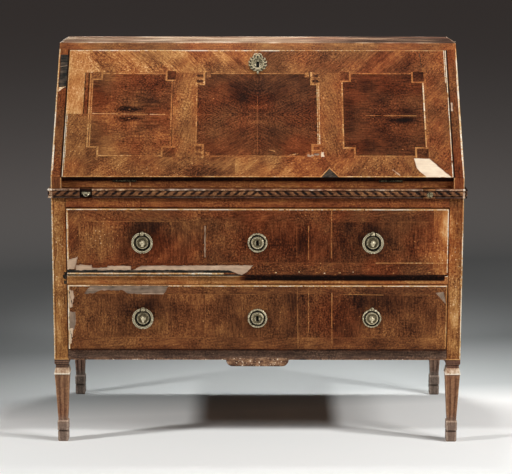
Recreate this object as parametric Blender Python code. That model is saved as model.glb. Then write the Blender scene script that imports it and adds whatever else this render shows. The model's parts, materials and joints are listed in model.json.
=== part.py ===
"""Slant-front writing bureau, made as the pieces it comes apart into.

Metres, +Z up, the front faces -Y and the floor is z = 0. X and Y are zero in the middle of the whole piece.
"""

import math

import bmesh
import bpy
from mathutils import Matrix, Vector

# Overall sizes
CASE_WIDTH = 1.090
CASE_DEPTH = 0.510
CASE_HEIGHT = 1.058
SLOPE_ANGLE = math.radians(50.0)

# Clearances
SEAT = 0.0003
RUNNING = 0.0005
DRAWER_GAP = 0.0015
DRAWER_SIDE_GAP = 0.0025
FALL_SIDE_GAP = 0.002
FALL_TOP_GAP = 0.0018

# Boards of the case
SIDE_THICK = 0.027
TOP_THICK = 0.018
BACK_THICK = 0.012
BOTTOM_THICK = 0.018
DUST_THICK = 0.012
LEAF_THICK = 0.018
FRAME_THICK = 0.036
STILE_WIDTH = 0.038
LOCK_RAIL_DEPTH = 0.032

# Heights up the front, from the floor
LEG_HEIGHT = 0.230
BOTTOM_RAIL = 0.0265
LOWER_FRONT = 0.1775
MIDDLE_RAIL = 0.0235
UPPER_FRONT = 0.1795
FRIEZE = 0.0275
ROPE_HEIGHT = 0.024
ROPE_GAP = 0.0015

# Shaped tail under the bottom rail
TAIL_WIDTH = 0.168
TAIL_DROP = 0.018
TAIL_ROUND_STEPS = 6

# Rope moulding: a half round whose strands wind round it
ROPE_PROJECTION = 0.013
ROPE_PITCH = 0.023
ROPE_STRANDS = 4
ROPE_GROOVE = 0.003
ROPE_STRAND_STEPS = 4
ROPE_ARC_STEPS = 6
ROPE_LAP = 0.0004

# Lopers, the two pull-out arms under the open fall
LOPER_INSET = 0.0925
LOPER_WIDTH = 0.033
LOPER_DROP = 0.0005
LOPER_LIFT = 0.001
LOPER_REAR_GAP = 0.095
BEARER_THICK = 0.018
BEARER_RIB = 0.012
KNOB_LENGTH = 0.016
KNOB_RADIUS = 0.0085
KNOB_SHANK = 0.0042
KNOB_SOCKET = 0.009
STAPLE_WIDTH = 0.022
STAPLE_HEIGHT = 0.006
STAPLE_THICK = 0.0015
STAPLE_RADIUS = 0.0075
STAPLE_WIRE = 0.0012

# Fall hinges
HINGE_INSET = 0.193
HINGE_LENGTH = 0.062
HINGE_MIDDLE = 0.024
HINGE_PLATE_WIDTH = 0.024
HINGE_PLATE_THICK = 0.0016
KNUCKLE_RADIUS = 0.004
PIN_RADIUS = 0.0016
PIN_CLEARANCE = 0.0001
FALL_SETBACK = 0.001

# Locks and keyholes
FALL_KEYHOLE_DROP = 0.046
FALL_LOCK_WIDTH = 0.070
FALL_LOCK_HEIGHT = 0.064
FALL_LOCK_THICK = 0.0105
DRAWER_LOCK_WIDTH = 0.080
DRAWER_LOCK_TAIL = 0.030
DRAWER_LOCK_THICK = 0.012
BOLT_WIDTH = 0.020
BOLT_THICK = 0.005
BOLT_LENGTH = 0.034
BOLT_THROW = 0.010
MORTISE_SPARE = 0.002
KEYHOLE_RADIUS = 0.0028
KEYHOLE_SLOT = 0.0034
KEYHOLE_LENGTH = 0.010

# Long drawers
DRAWER_PROUD = 0.010
FRONT_THICK = 0.028
DRAWER_SIDE = 0.012
DRAWER_BACK = 0.012
DRAWER_BOTTOM = 0.008
DRAWER_BOTTOM_LIFT = 0.006
DRAWER_TOP_DROP = 0.012
DRAWER_REAR_GAP = 0.030

# Ring pulls and round key plates
PULL_INSET = 0.240
PLATE_RADIUS = 0.025
PLATE_RIM = 0.0028
PLATE_BASE = 0.0020
PLATE_SIDES = 24
ROSETTE_RADIUS = 0.016
ROSETTE_HEIGHT = 0.0060
EAR_RADIUS = 0.0060
EAR_HOLE = 0.0024
POST_RADIUS = 0.0050
POST_LENGTH = 0.0118
RING_RADIUS = 0.0245
RING_HALF_WIDE = 0.0040
RING_HALF_DEEP = 0.0022
RING_GAP_ANGLE = math.radians(16.0)
RING_PIN = 0.0013
RING_PIN_END = 0.0010
RING_CLEARANCE = 0.0004
RING_STAND_OFF = 0.0008
RING_STEPS = 24
RING_SIDES = 6
KEY_PLATE_RADIUS = 0.026
KEY_BOSS_RADIUS = 0.0155
KEY_BOSS_HEIGHT = 0.0060

# Wreath key plate of the fall
WREATH_HALF_WIDTH = 0.0190
WREATH_HALF_HEIGHT = 0.0215
WREATH_TUBE = 0.0050
WREATH_SWELL = 0.0012
WREATH_LEAVES = 12
WREATH_STEPS = 36
WREATH_SIDES = 6
WREATH_FIELD_THICK = 0.0022
BOW_RADIUS = 0.0048
BOW_WIRE = 0.0017
BOW_STEPS = 12

# Nest of small drawers and pigeonholes behind the fall
NEST_BOARD = 0.009
NEST_SETBACK = 0.012
NEST_ROW = 0.086
NEST_BAY = 0.348
NEST_GAP = 0.0012
NEST_WALL = 0.007
NEST_KNOB_RADIUS = 0.007
NEST_KNOB_LENGTH = 0.014

# Legs: square, tapered and hollowed, with an ankle block and a flared collar
LEG_FOOT = 0.028
LEG_TOE = 0.004
LEG_GROOVE = 0.004
LEG_ANKLE = 0.027
LEG_COLLAR = 0.019
LEG_NECK = 0.010
LEG_CAP = 0.012
LEG_STEP = 0.002
TOE_HALF = 0.0118
FOOT_HALF = 0.0140
GROOVE_HALF = 0.0122
ANKLE_HALF = 0.0146
SHAFT_LOW_HALF = 0.0122
SHAFT_TOP_HALF = 0.0192
COLLAR_HALF = 0.0208
COLLAR_TOP_HALF = 0.0168
NECK_HALF = 0.0160
CAP_HALF = 0.0192
FLUTE_DEPTH = 0.0018
FLUTE_END = 0.010
FLUTE_CENTRE_SHARE = 0.42
FLUTE_REACH_SHARE = 0.22

# Planes that the sizes give
FRONT_REACH = max(ROPE_PROJECTION + KNOB_LENGTH, DRAWER_PROUD + POST_LENGTH)
FRONT = (FRONT_REACH - CASE_DEPTH) / 2
BACK = FRONT + CASE_DEPTH
FRAME_BACK = FRONT + FRAME_THICK
BACK_INNER = BACK - BACK_THICK
OUTER_X = CASE_WIDTH / 2
INNER_X = OUTER_X - SIDE_THICK
STILE_INNER_X = OUTER_X - STILE_WIDTH
LOPER_X = OUTER_X - LOPER_INSET
HINGE_X = OUTER_X - HINGE_INSET
PULL_X = OUTER_X - PULL_INSET
NEST_DIVIDER_X = INNER_X - NEST_BAY

LOWER_OPEN_Z = LEG_HEIGHT + BOTTOM_RAIL
LOWER_FRONT_Z = LOWER_OPEN_Z + DRAWER_GAP
MIDDLE_Z = LOWER_FRONT_Z + LOWER_FRONT + DRAWER_GAP
UPPER_OPEN_Z = MIDDLE_Z + MIDDLE_RAIL
UPPER_FRONT_Z = UPPER_OPEN_Z + DRAWER_GAP
FRIEZE_Z = UPPER_FRONT_Z + UPPER_FRONT + DRAWER_GAP
ROPE_Z = FRIEZE_Z + FRIEZE
ROPE_TOP = ROPE_Z + ROPE_HEIGHT
ROPE_MIDDLE = ROPE_Z + ROPE_HEIGHT / 2
BED_Z = ROPE_TOP + ROPE_GAP
BED_TOP = BED_Z + LEAF_THICK
TOP_UNDER = CASE_HEIGHT - TOP_THICK

SLOPE_COS = math.cos(SLOPE_ANGLE)
SLOPE_SIN = math.sin(SLOPE_ANGLE)
HINGE_Y = FRONT + LEAF_THICK * SLOPE_SIN + FALL_SETBACK
HINGE_Z = BED_TOP
FALL_HALF = INNER_X - FALL_SIDE_GAP
FALL_LENGTH = (TOP_UNDER - FALL_TOP_GAP - HINGE_Z - LEAF_THICK * SLOPE_COS) / SLOPE_SIN
FALL_KEYHOLE = FALL_LENGTH - FALL_KEYHOLE_DROP

# Local axes of the closed fall: X across, Y up the slope from the hinge, Z outwards from the inner face
FALL_FRAME = Matrix.Translation((0.0, HINGE_Y, HINGE_Z)) @ Matrix.Rotation(SLOPE_ANGLE, 4, "X")
# Local axes of a fitting on an upright front: X across, Y up, Z forwards
UPRIGHT = Matrix.Rotation(math.pi / 2, 4, "X")


def finish(name, colour, roughness, metallic=0.0):
    """Plain material with one colour."""
    material = bpy.data.materials.new(name)
    material.use_nodes = True
    shader = material.node_tree.nodes["Principled BSDF"]
    shader.inputs["Base Color"].default_value = (*colour, 1.0)
    shader.inputs["Roughness"].default_value = roughness
    shader.inputs["Metallic"].default_value = metallic
    return material


def new_object(name, shape):
    """Object made from a bmesh, which is used up."""
    mesh = bpy.data.meshes.new(name)
    shape.to_mesh(mesh)
    shape.free()
    item = bpy.data.objects.new(name, mesh)
    bpy.context.scene.collection.objects.link(item)
    return item


def combined(shape, tools, operation):
    """First shape joined with, cut by or kept inside each of the other shapes."""
    item = new_object("shape", shape)
    for tool in tools:
        other = new_object("tool", tool)
        modifier = item.modifiers.new("combine", "BOOLEAN")
        modifier.operation = operation
        modifier.solver = "EXACT"
        modifier.object = other
        graph = bpy.context.evaluated_depsgraph_get()
        mesh = bpy.data.meshes.new_from_object(item.evaluated_get(graph))
        item.modifiers.clear()
        item.data = mesh
        bpy.data.objects.remove(other, do_unlink=True)
    result = bmesh.new()
    result.from_mesh(item.data)
    bpy.data.objects.remove(item, do_unlink=True)
    return result


def joined(shape, *others):
    return combined(shape, others, "UNION")


def cut(shape, *cutters):
    return combined(shape, cutters, "DIFFERENCE")


def kept_inside(shape, *limits):
    return combined(shape, limits, "INTERSECT")


def moved(shape, matrix):
    """Shape put in place by a matrix."""
    bmesh.ops.transform(shape, matrix=matrix, verts=shape.verts)
    return shape


def mirrored(shape):
    """Shape turned into its left-hand twin."""
    bmesh.ops.scale(shape, vec=(-1.0, 1.0, 1.0), verts=shape.verts)
    bmesh.ops.reverse_faces(shape, faces=shape.faces)
    return shape


def handed(shape, side):
    """Right-hand shape for side +1, its twin for side -1."""
    return shape if side > 0 else mirrored(shape)


def add_piece(name, shape, material, carrier=None, smooth=False):
    """Named piece in its place, carried by the empty on its joint's axis if it moves."""
    piece = new_object(name, shape)
    piece.data.materials.append(material)
    if smooth:
        piece.data.shade_smooth()
        piece.data.set_sharp_from_angle(angle=math.radians(35.0))
    if carrier:
        piece.parent = carrier
        piece.matrix_parent_inverse = Matrix.Translation(carrier.location).inverted()
    return piece


def add_axis(name, location, parent=None):
    """Empty on a joint's axis, for the pieces that move together."""
    axis = bpy.data.objects.new(name, None)
    axis.empty_display_size = 0.05
    axis.location = location
    bpy.context.scene.collection.objects.link(axis)
    if parent:
        axis.parent = parent
        axis.matrix_parent_inverse = Matrix.Translation(parent.location).inverted()
    return axis


def slab(low, high):
    """Box between two corners."""
    shape = bmesh.new()
    bmesh.ops.create_cube(shape, size=1.0)
    size = [b - a for a, b in zip(low, high)]
    middle = [(a + b) / 2 for a, b in zip(low, high)]
    return moved(shape, Matrix.Translation(middle) @ Matrix.Diagonal((*size, 1.0)))


def prism(outline, axis, low, high):
    """Outline in the two other axes, taken in X, Y, Z order, pushed along axis 0, 1 or 2."""
    shape = bmesh.new()
    levels = []
    for along in (low, high):
        corners = [[*point[:axis], along, *point[axis:]] for point in outline]
        levels.append([shape.verts.new(corner) for corner in corners])
        shape.faces.new(levels[-1])
    for corner in range(len(outline)):
        before = [level[corner - 1] for level in levels]
        here = [level[corner] for level in levels]
        shape.faces.new((before[0], here[0], here[1], before[1]))
    bmesh.ops.recalc_face_normals(shape, faces=shape.faces)
    return shape


def ring_of_points(shape, centre_radius, height, sides):
    """Points of one level of a turned shape: a single one where it meets the axis."""
    if centre_radius == 0.0:
        return [shape.verts.new((0.0, 0.0, height))]
    angles = [2 * math.pi * (step + 0.5) / sides for step in range(sides)]
    return [shape.verts.new((centre_radius * math.cos(a), centre_radius * math.sin(a), height)) for a in angles]


def turned(profile, sides):
    """Profile of radius and height pairs spun round the local Z axis, closed at both ends."""
    shape = bmesh.new()
    rings = [ring_of_points(shape, radius, height, sides) for radius, height in profile]
    for lower, upper in zip(rings, rings[1:]):
        for step in range(sides):
            following = (step + 1) % sides
            corners = (lower[step % len(lower)], lower[following % len(lower)])
            corners += (upper[following % len(upper)], upper[step % len(upper)])
            shape.faces.new(list(dict.fromkeys(corners)))
    for ring in (rings[0], rings[-1]):
        if len(ring) > 1:
            shape.faces.new(ring)
    bmesh.ops.recalc_face_normals(shape, faces=shape.faces)
    return shape


def rod(radius, low, high, sides):
    """Round bar along the local Z axis."""
    return turned([(radius, low), (radius, high)], sides)


def cross_rod(radius, low, high, y, z, sides):
    """Round bar along X."""
    along_x = Matrix.Translation((0.0, y, z)) @ Matrix.Rotation(math.pi / 2, 4, "Y")
    return moved(rod(radius, low, high, sides), along_x)


def loop(half_width, half_height, start, end, steps, sides, section):
    """Tube round an ellipse in the local XY plane; section gives its half sizes at an angle."""
    shape = bmesh.new()
    closed = end - start > 2 * math.pi - 1e-6
    rings = []
    for step in range(steps if closed else steps + 1):
        angle = start + (end - start) * step / steps
        wide, deep = section(angle)
        outward = Vector((math.cos(angle), math.sin(angle), 0.0))
        centre = Vector((half_width * math.cos(angle), half_height * math.sin(angle), 0.0))
        turns = [2 * math.pi * (side + 0.5) / sides for side in range(sides)]
        points = [centre + outward * wide * math.cos(t) + Vector((0, 0, deep * math.sin(t))) for t in turns]
        rings.append([shape.verts.new(point) for point in points])
    pairs = list(zip(rings, rings[1:]))
    if closed:
        pairs.append((rings[-1], rings[0]))
    else:
        shape.faces.new(rings[0])
        shape.faces.new(rings[-1])
    for before, here in pairs:
        for side in range(sides):
            shape.faces.new((before[side - 1], before[side], here[side], here[side - 1]))
    bmesh.ops.recalc_face_normals(shape, faces=shape.faces)
    return shape


def rope(start, end):
    """Half-round rope along X with its flat back on y = 0, its middle on z = 0 and strands leaning left."""
    shape = bmesh.new()
    half_turn = ROPE_STRANDS / 2
    first = math.floor(start / ROPE_PITCH - half_turn)
    last = math.ceil(end / ROPE_PITCH + half_turn)
    columns = []
    for step in range(first * ROPE_STRAND_STEPS, last * ROPE_STRAND_STEPS + 1):
        strand = step / ROPE_STRAND_STEPS
        sunk = ROPE_GROOVE * (1 - abs(math.sin(math.pi * strand)))
        swell = 1 - 2 * sunk / ROPE_HEIGHT
        column = []
        for arc in range(ROPE_ARC_STEPS + 1):
            turn = math.pi * (arc / ROPE_ARC_STEPS - 0.5)
            x = ROPE_PITCH * (strand - ROPE_STRANDS * turn / (2 * math.pi))
            y = -ROPE_PROJECTION * swell * math.cos(turn)
            column.append(shape.verts.new((x, y, ROPE_HEIGHT / 2 * swell * math.sin(turn))))
        columns.append(column)
    for before, here in zip(columns, columns[1:]):
        for row in range(ROPE_ARC_STEPS + 1):
            shape.faces.new((before[row - 1], before[row], here[row], here[row - 1]))
    shape.faces.new(columns[0])
    shape.faces.new(columns[-1])
    bmesh.ops.triangulate(shape, faces=shape.faces)
    bmesh.ops.recalc_face_normals(shape, faces=shape.faces)
    limit = slab((start, -2 * ROPE_PROJECTION, -ROPE_HEIGHT), (end, ROPE_PROJECTION, ROPE_HEIGHT))
    return kept_inside(shape, limit)


def on_fall(x, up_slope, outwards):
    """Place on the closed fall, with the fitting's Z facing outwards."""
    return FALL_FRAME @ Matrix.Translation((x, up_slope, outwards))


def on_front(x, y, z):
    """Place on an upright front, with the fitting's Z facing forwards."""
    return Matrix.Translation((x, y, z)) @ UPRIGHT


def fall_point(up_slope, outwards):
    """Y and Z of a point given in the closed fall's own axes."""
    return tuple((FALL_FRAME @ Vector((0.0, up_slope, outwards)))[1:])


def slope_y(z):
    """Y of the sloping front's outer plane at a height."""
    y, base = fall_point(0.0, LEAF_THICK)
    return y + (z - base) / math.tan(SLOPE_ANGLE)


def keyhole_cutter(depth):
    """Round eye over a narrow slot, long enough to pass through a plate, in a fitting's own axes."""
    eye = rod(KEYHOLE_RADIUS, -depth, depth, 12)
    bmesh.ops.translate(eye, vec=(0.0, KEYHOLE_LENGTH / 2, 0.0), verts=eye.verts)
    slot = slab((-KEYHOLE_SLOT / 2, -KEYHOLE_LENGTH / 2, -depth), (KEYHOLE_SLOT / 2, KEYHOLE_LENGTH / 2, depth))
    return joined(slot, eye)


def build_case(walnut, plain_wood):
    """Boards that make the fixed carcass."""
    slope_foot = BED_TOP + LEAF_THICK * SLOPE_COS - FALL_SETBACK * math.tan(SLOPE_ANGLE)
    side_outline = [
        (BACK, LEG_HEIGHT),
        (BACK, TOP_UNDER - SEAT),
        (slope_y(TOP_UNDER - SEAT), TOP_UNDER - SEAT),
        (FRONT, slope_foot),
        (FRONT, ROPE_TOP + SEAT),
        (FRAME_BACK + SEAT, ROPE_TOP + SEAT),
        (FRAME_BACK + SEAT, LEG_HEIGHT),
    ]
    for name, side in (("left", -1), ("right", 1)):
        board = prism(side_outline, 0, INNER_X, OUTER_X)
        add_piece(f"{name}_side", handed(board, side), walnut)
        stile = slab((STILE_INNER_X, FRONT, LEG_HEIGHT), (OUTER_X, FRAME_BACK, ROPE_TOP))
        add_piece(f"{name}_stile", handed(stile, side), walnut)

    rail_face = FALL_LENGTH + FALL_TOP_GAP
    rail_edge = fall_point(rail_face, LEAF_THICK - LOCK_RAIL_DEPTH)
    top_outline = [
        (slope_y(CASE_HEIGHT), CASE_HEIGHT),
        (BACK, CASE_HEIGHT),
        (BACK, TOP_UNDER),
        (rail_edge[0], TOP_UNDER),
        rail_edge,
        fall_point(rail_face, LEAF_THICK),
    ]
    lip = prism(top_outline, 0, -INNER_X + SEAT, INNER_X - SEAT)
    flat_outline = [*top_outline[:3], (slope_y(TOP_UNDER), TOP_UNDER)]
    top = joined(prism(flat_outline, 0, -OUTER_X, OUTER_X), lip)
    add_piece("top_board", cut(top, fall_mortise(rail_face)), walnut)

    inside = INNER_X - SEAT
    back = slab((-inside, BACK_INNER, LEG_HEIGHT), (inside, BACK - SEAT, TOP_UNDER - SEAT))
    add_piece("back_panel", back, plain_wood)
    front_y = FRAME_BACK + SEAT
    back_y = BACK_INNER - SEAT
    bottom = slab((-inside, front_y, LOWER_OPEN_Z - BOTTOM_THICK), (inside, back_y, LOWER_OPEN_Z))
    add_piece("bottom_board", bottom, plain_wood)
    dust = slab((-inside, front_y, UPPER_OPEN_Z - DUST_THICK), (inside, back_y, UPPER_OPEN_Z))
    add_piece("dust_board", dust, plain_wood)

    bed = slab((-inside, HINGE_Y + RUNNING, BED_Z), (inside, back_y, BED_TOP))
    bed_frame = Matrix.Translation((0.0, HINGE_Y, HINGE_Z))
    pockets = [hinge_recess(side * HINGE_X, bed_frame, -1) for side in (-1, 1)]
    add_piece("writing_bed", cut(bed, *pockets), walnut)


def build_rails(walnut):
    """Rails across the front, with the slots that the lock bolts enter."""
    half = STILE_INNER_X - SEAT
    bolt_y = drawer_bolt_y()

    def mortise(z):
        low = (-BOLT_WIDTH / 2 - RUNNING, bolt_y - BOLT_THICK / 2 - RUNNING, z - DRAWER_GAP)
        high = (BOLT_WIDTH / 2 + RUNNING, bolt_y + BOLT_THICK / 2 + RUNNING, z + BOLT_THROW + MORTISE_SPARE)
        return slab(low, high)

    notch = LOPER_WIDTH / 2 + RUNNING
    right_edge = [(half, FRIEZE_Z), (half, BED_Z - SEAT)]
    for reach in (notch, -notch):
        step = [(LOPER_X + reach, BED_Z - SEAT), (LOPER_X + reach, ROPE_Z - RUNNING)]
        right_edge += step if reach > 0 else step[::-1]
    outline = right_edge + [(-x, z) for x, z in right_edge[::-1]]
    frieze = cut(prism(outline, 1, FRONT, FRAME_BACK), mortise(FRIEZE_Z))
    add_piece("frieze_rail", frieze, walnut)

    middle = slab((-half, FRONT, MIDDLE_Z), (half, FRAME_BACK, UPPER_OPEN_Z))
    add_piece("middle_rail", cut(middle, mortise(MIDDLE_Z)), walnut)

    tail = []
    for step in range(TAIL_ROUND_STEPS + 1):
        turn = math.pi / 2 * step / TAIL_ROUND_STEPS
        x = TAIL_WIDTH / 2 - TAIL_DROP * (1 - math.cos(turn))
        tail.append((x, LEG_HEIGHT - TAIL_DROP * math.sin(turn)))
    right_edge = [(half, LOWER_OPEN_Z), (half, LEG_HEIGHT), *tail]
    outline = right_edge + [(-x, z) for x, z in right_edge[::-1]]
    add_piece("bottom_rail", prism(outline, 1, FRONT, FRAME_BACK), walnut)


def build_rope_mouldings(walnut):
    """Rope along the front between the lopers, and a short run at each corner that returns down the side."""
    face = Matrix.Translation((0.0, FRONT - SEAT, ROPE_MIDDLE))
    end = LOPER_X - LOPER_WIDTH / 2 - RUNNING
    front = joined(rope(-ROPE_LAP, end), mirrored(rope(-ROPE_LAP, end)))
    add_piece("front_rope_moulding", moved(front, face), walnut, smooth=True)

    start = LOPER_X + LOPER_WIDTH / 2 + RUNNING
    reach = 2 * ROPE_PROJECTION
    corner = OUTER_X + SEAT
    side_face = Matrix.Translation((corner, FRONT - SEAT, ROPE_MIDDLE)) @ Matrix.Rotation(math.pi / 2, 4, "Z")
    for name, side in (("left", -1), ("right", 1)):
        lapped = corner + ROPE_LAP
        mitre = [(start, reach), (lapped - reach, reach), (lapped + reach, -reach), (start, -reach)]
        ahead = kept_inside(rope(start, corner + reach), prism(mitre, 2, -ROPE_HEIGHT, ROPE_HEIGHT))
        length = CASE_DEPTH + SEAT
        mitre = [(length, reach), (reach - ROPE_LAP, reach), (-reach - ROPE_LAP, -reach), (length, -reach)]
        along = kept_inside(rope(-reach, length), prism(mitre, 2, -ROPE_HEIGHT, ROPE_HEIGHT))
        shape = joined(moved(ahead, face), moved(along, side_face))
        add_piece(f"{name}_rope_return", handed(shape, side), walnut, smooth=True)


def leg_level(half, flute):
    """Points round one level of a leg: a square with two hollows in each face."""
    face = [(-1.0, 0.0)]
    for centre in (-FLUTE_CENTRE_SHARE, FLUTE_CENTRE_SHARE):
        for offset, depth in ((-1.0, 0.0), (0.0, flute), (1.0, 0.0)):
            face.append((centre + offset * FLUTE_REACH_SHARE, depth))
    points = []
    for quarter in range(4):
        turn = Matrix.Rotation(quarter * math.pi / 2, 2)
        points += [turn @ Vector((share * half, depth - half)) for share, depth in face]
    return points


def leg_shape():
    """Leg standing on z = 0 round the local Z axis."""
    ankle_low = LEG_FOOT + LEG_GROOVE
    shaft_low = ankle_low + LEG_ANKLE
    collar_low = LEG_HEIGHT - LEG_CAP - LEG_NECK - LEG_COLLAR
    neck_low = collar_low + LEG_COLLAR
    cap_low = neck_low + LEG_NECK
    taper = (SHAFT_TOP_HALF - SHAFT_LOW_HALF) / (collar_low - shaft_low)
    flute_low = shaft_low + FLUTE_END
    flute_top = collar_low - FLUTE_END

    def shaft_half(height):
        return SHAFT_LOW_HALF + taper * (height - shaft_low)

    levels = [
        (0.0, TOE_HALF, 0.0),
        (LEG_TOE, FOOT_HALF, 0.0),
        (LEG_FOOT, FOOT_HALF, 0.0),
        (LEG_FOOT, GROOVE_HALF, 0.0),
        (ankle_low, GROOVE_HALF, 0.0),
        (ankle_low, ANKLE_HALF, 0.0),
        (shaft_low - LEG_STEP, ANKLE_HALF, 0.0),
        (shaft_low, SHAFT_LOW_HALF, 0.0),
        (flute_low, shaft_half(flute_low), 0.0),
        (flute_low + LEG_STEP, shaft_half(flute_low + LEG_STEP), FLUTE_DEPTH),
        (flute_top - LEG_STEP, shaft_half(flute_top - LEG_STEP), FLUTE_DEPTH),
        (flute_top, shaft_half(flute_top), 0.0),
        (collar_low, SHAFT_TOP_HALF, 0.0),
        (collar_low, COLLAR_HALF, 0.0),
        (collar_low + LEG_STEP, COLLAR_HALF, 0.0),
        (neck_low, COLLAR_TOP_HALF, 0.0),
        (neck_low, NECK_HALF, 0.0),
        (neck_low + LEG_NECK / 2, NECK_HALF, 0.0),
        (neck_low + LEG_NECK / 2, COLLAR_TOP_HALF, 0.0),
        (cap_low - LEG_STEP, COLLAR_TOP_HALF, 0.0),
        (cap_low, CAP_HALF, 0.0),
        (LEG_HEIGHT - SEAT, CAP_HALF, 0.0),
    ]
    shape = bmesh.new()
    rings = []
    for height, half, flute in levels:
        rings.append([shape.verts.new((*point, height)) for point in leg_level(half, flute)])
    for lower, upper in zip(rings, rings[1:]):
        for point in range(len(lower)):
            shape.faces.new((lower[point - 1], lower[point], upper[point], upper[point - 1]))
    shape.faces.new(rings[0])
    shape.faces.new(rings[-1])
    bmesh.ops.recalc_face_normals(shape, faces=shape.faces)
    return shape


def build_legs(walnut):
    """Four legs, flush with the corners of the case."""
    for row, y in (("front", FRONT + CAP_HALF), ("back", BACK - COLLAR_HALF)):
        for name, x in (("left", CAP_HALF - OUTER_X), ("right", OUTER_X - CAP_HALF)):
            leg = moved(leg_shape(), Matrix.Translation((x, y, 0.0)))
            add_piece(f"{row}_{name}_leg", leg, walnut)


def hinge_recess(x, frame, face):
    """Shallow pocket for a hinge plate and its knuckle; face is -1 below the frame's XY plane and +1 above."""
    half = HINGE_LENGTH / 2 + SEAT
    depth = face * (HINGE_PLATE_THICK + SEAT)
    low = (x - half, -KNUCKLE_RADIUS, min(depth, -face * RUNNING))
    high = (x + half, HINGE_PLATE_WIDTH + SEAT, max(depth, -face * RUNNING))
    knuckle = cross_rod(KNUCKLE_RADIUS + RUNNING, x - half, x + half, 0.0, 0.0, 16)
    return moved(joined(slab(low, high), knuckle), frame)


def hinge_leaf(x, face, knuckles):
    """Hinge plate with its knuckles round the frame's X axis, drilled for the pin."""
    thick = face * HINGE_PLATE_THICK
    start = KNUCKLE_RADIUS + RUNNING
    half = HINGE_LENGTH / 2
    shape = slab((x - half, start, min(0.0, thick)), (x + half, HINGE_PLATE_WIDTH, max(0.0, thick)))
    for low, high in knuckles:
        tongue = slab((x + low, 0.0, min(0.0, thick)), (x + high, 2 * start, max(0.0, thick)))
        barrel = cross_rod(KNUCKLE_RADIUS, x + low, x + high, 0.0, 0.0, 16)
        shape = joined(shape, joined(tongue, barrel))
    return cut(shape, cross_rod(PIN_RADIUS + PIN_CLEARANCE, x - HINGE_LENGTH, x + HINGE_LENGTH, 0.0, 0.0, 16))


def build_hinges(brass, fall_axis):
    """Two butt hinges: a leaf on the bed, a leaf on the fall and the pin through both."""
    half = HINGE_LENGTH / 2
    middle = HINGE_MIDDLE / 2
    bed_frame = Matrix.Translation((0.0, HINGE_Y, HINGE_Z))
    for name, side in (("left", -1), ("right", 1)):
        x = side * HINGE_X
        ends = [(-half, -middle - RUNNING), (middle + RUNNING, half)]
        fixed = moved(hinge_leaf(x, -1, ends), bed_frame)
        add_piece(f"{name}_bed_hinge_leaf", fixed, brass)
        turning = moved(hinge_leaf(x, 1, [(-middle, middle)]), FALL_FRAME)
        add_piece(f"{name}_fall_hinge_leaf", turning, brass, fall_axis)
        pin = moved(cross_rod(PIN_RADIUS, x - half, x + half, 0.0, 0.0, 12), bed_frame)
        add_piece(f"{name}_hinge_pin", pin, brass)


def fall_bolt_shape(spare, length_spare):
    """Bolt of the fall's lock in the fall's axes, or the room round it when spare is not zero."""
    half = BOLT_WIDTH / 2 + spare
    middle = FALL_LOCK_THICK / 2
    low = (-half, FALL_LENGTH - BOLT_LENGTH - length_spare, middle - BOLT_THICK / 2 - spare)
    high = (half, FALL_LENGTH - SEAT + length_spare, middle + BOLT_THICK / 2 + spare)
    return slab(low, high)


def fall_mortise(rail_face):
    """Slot in the lip of the top board that the fall's bolt enters."""
    half = BOLT_WIDTH / 2 + RUNNING
    middle = FALL_LOCK_THICK / 2
    low = (-half, rail_face - RUNNING, middle - BOLT_THICK / 2 - RUNNING)
    high = (half, FALL_LENGTH + BOLT_THROW + MORTISE_SPARE, middle + BOLT_THICK / 2 + RUNNING)
    return moved(slab(low, high), FALL_FRAME)


def build_fall(fall_axis, bolt_axis, walnut, brass, iron):
    """Fall front with its lock, bolt and wreath key plate."""
    board = slab((-FALL_HALF, RUNNING, 0.0), (FALL_HALF, FALL_LENGTH, LEAF_THICK))
    half = FALL_LOCK_WIDTH / 2
    pocket_low = (-half - SEAT, FALL_LENGTH - FALL_LOCK_HEIGHT - SEAT, -RUNNING)
    pocket = slab(pocket_low, (half + SEAT, FALL_LENGTH + RUNNING, FALL_LOCK_THICK + SEAT))
    keyhole = keyhole_cutter(LEAF_THICK)
    bmesh.ops.translate(keyhole, vec=(0.0, FALL_KEYHOLE, LEAF_THICK), verts=keyhole.verts)
    recesses = [hinge_recess(side * HINGE_X, Matrix.Identity(4), 1) for side in (-1, 1)]
    board = cut(board, pocket, keyhole, *recesses)
    add_piece("fall_board", moved(board, FALL_FRAME), walnut, fall_axis)

    lock = slab((-half, FALL_LENGTH - FALL_LOCK_HEIGHT, SEAT), (half, FALL_LENGTH - SEAT, FALL_LOCK_THICK))
    lock = cut(lock, fall_bolt_shape(SEAT, SEAT + RUNNING))
    add_piece("fall_lock", moved(lock, FALL_FRAME), iron, fall_axis)
    add_piece("fall_bolt", moved(fall_bolt_shape(0.0, 0.0), FALL_FRAME), iron, bolt_axis)
    add_piece("fall_key_plate", wreath_key_plate(), brass, fall_axis, smooth=True)


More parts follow.
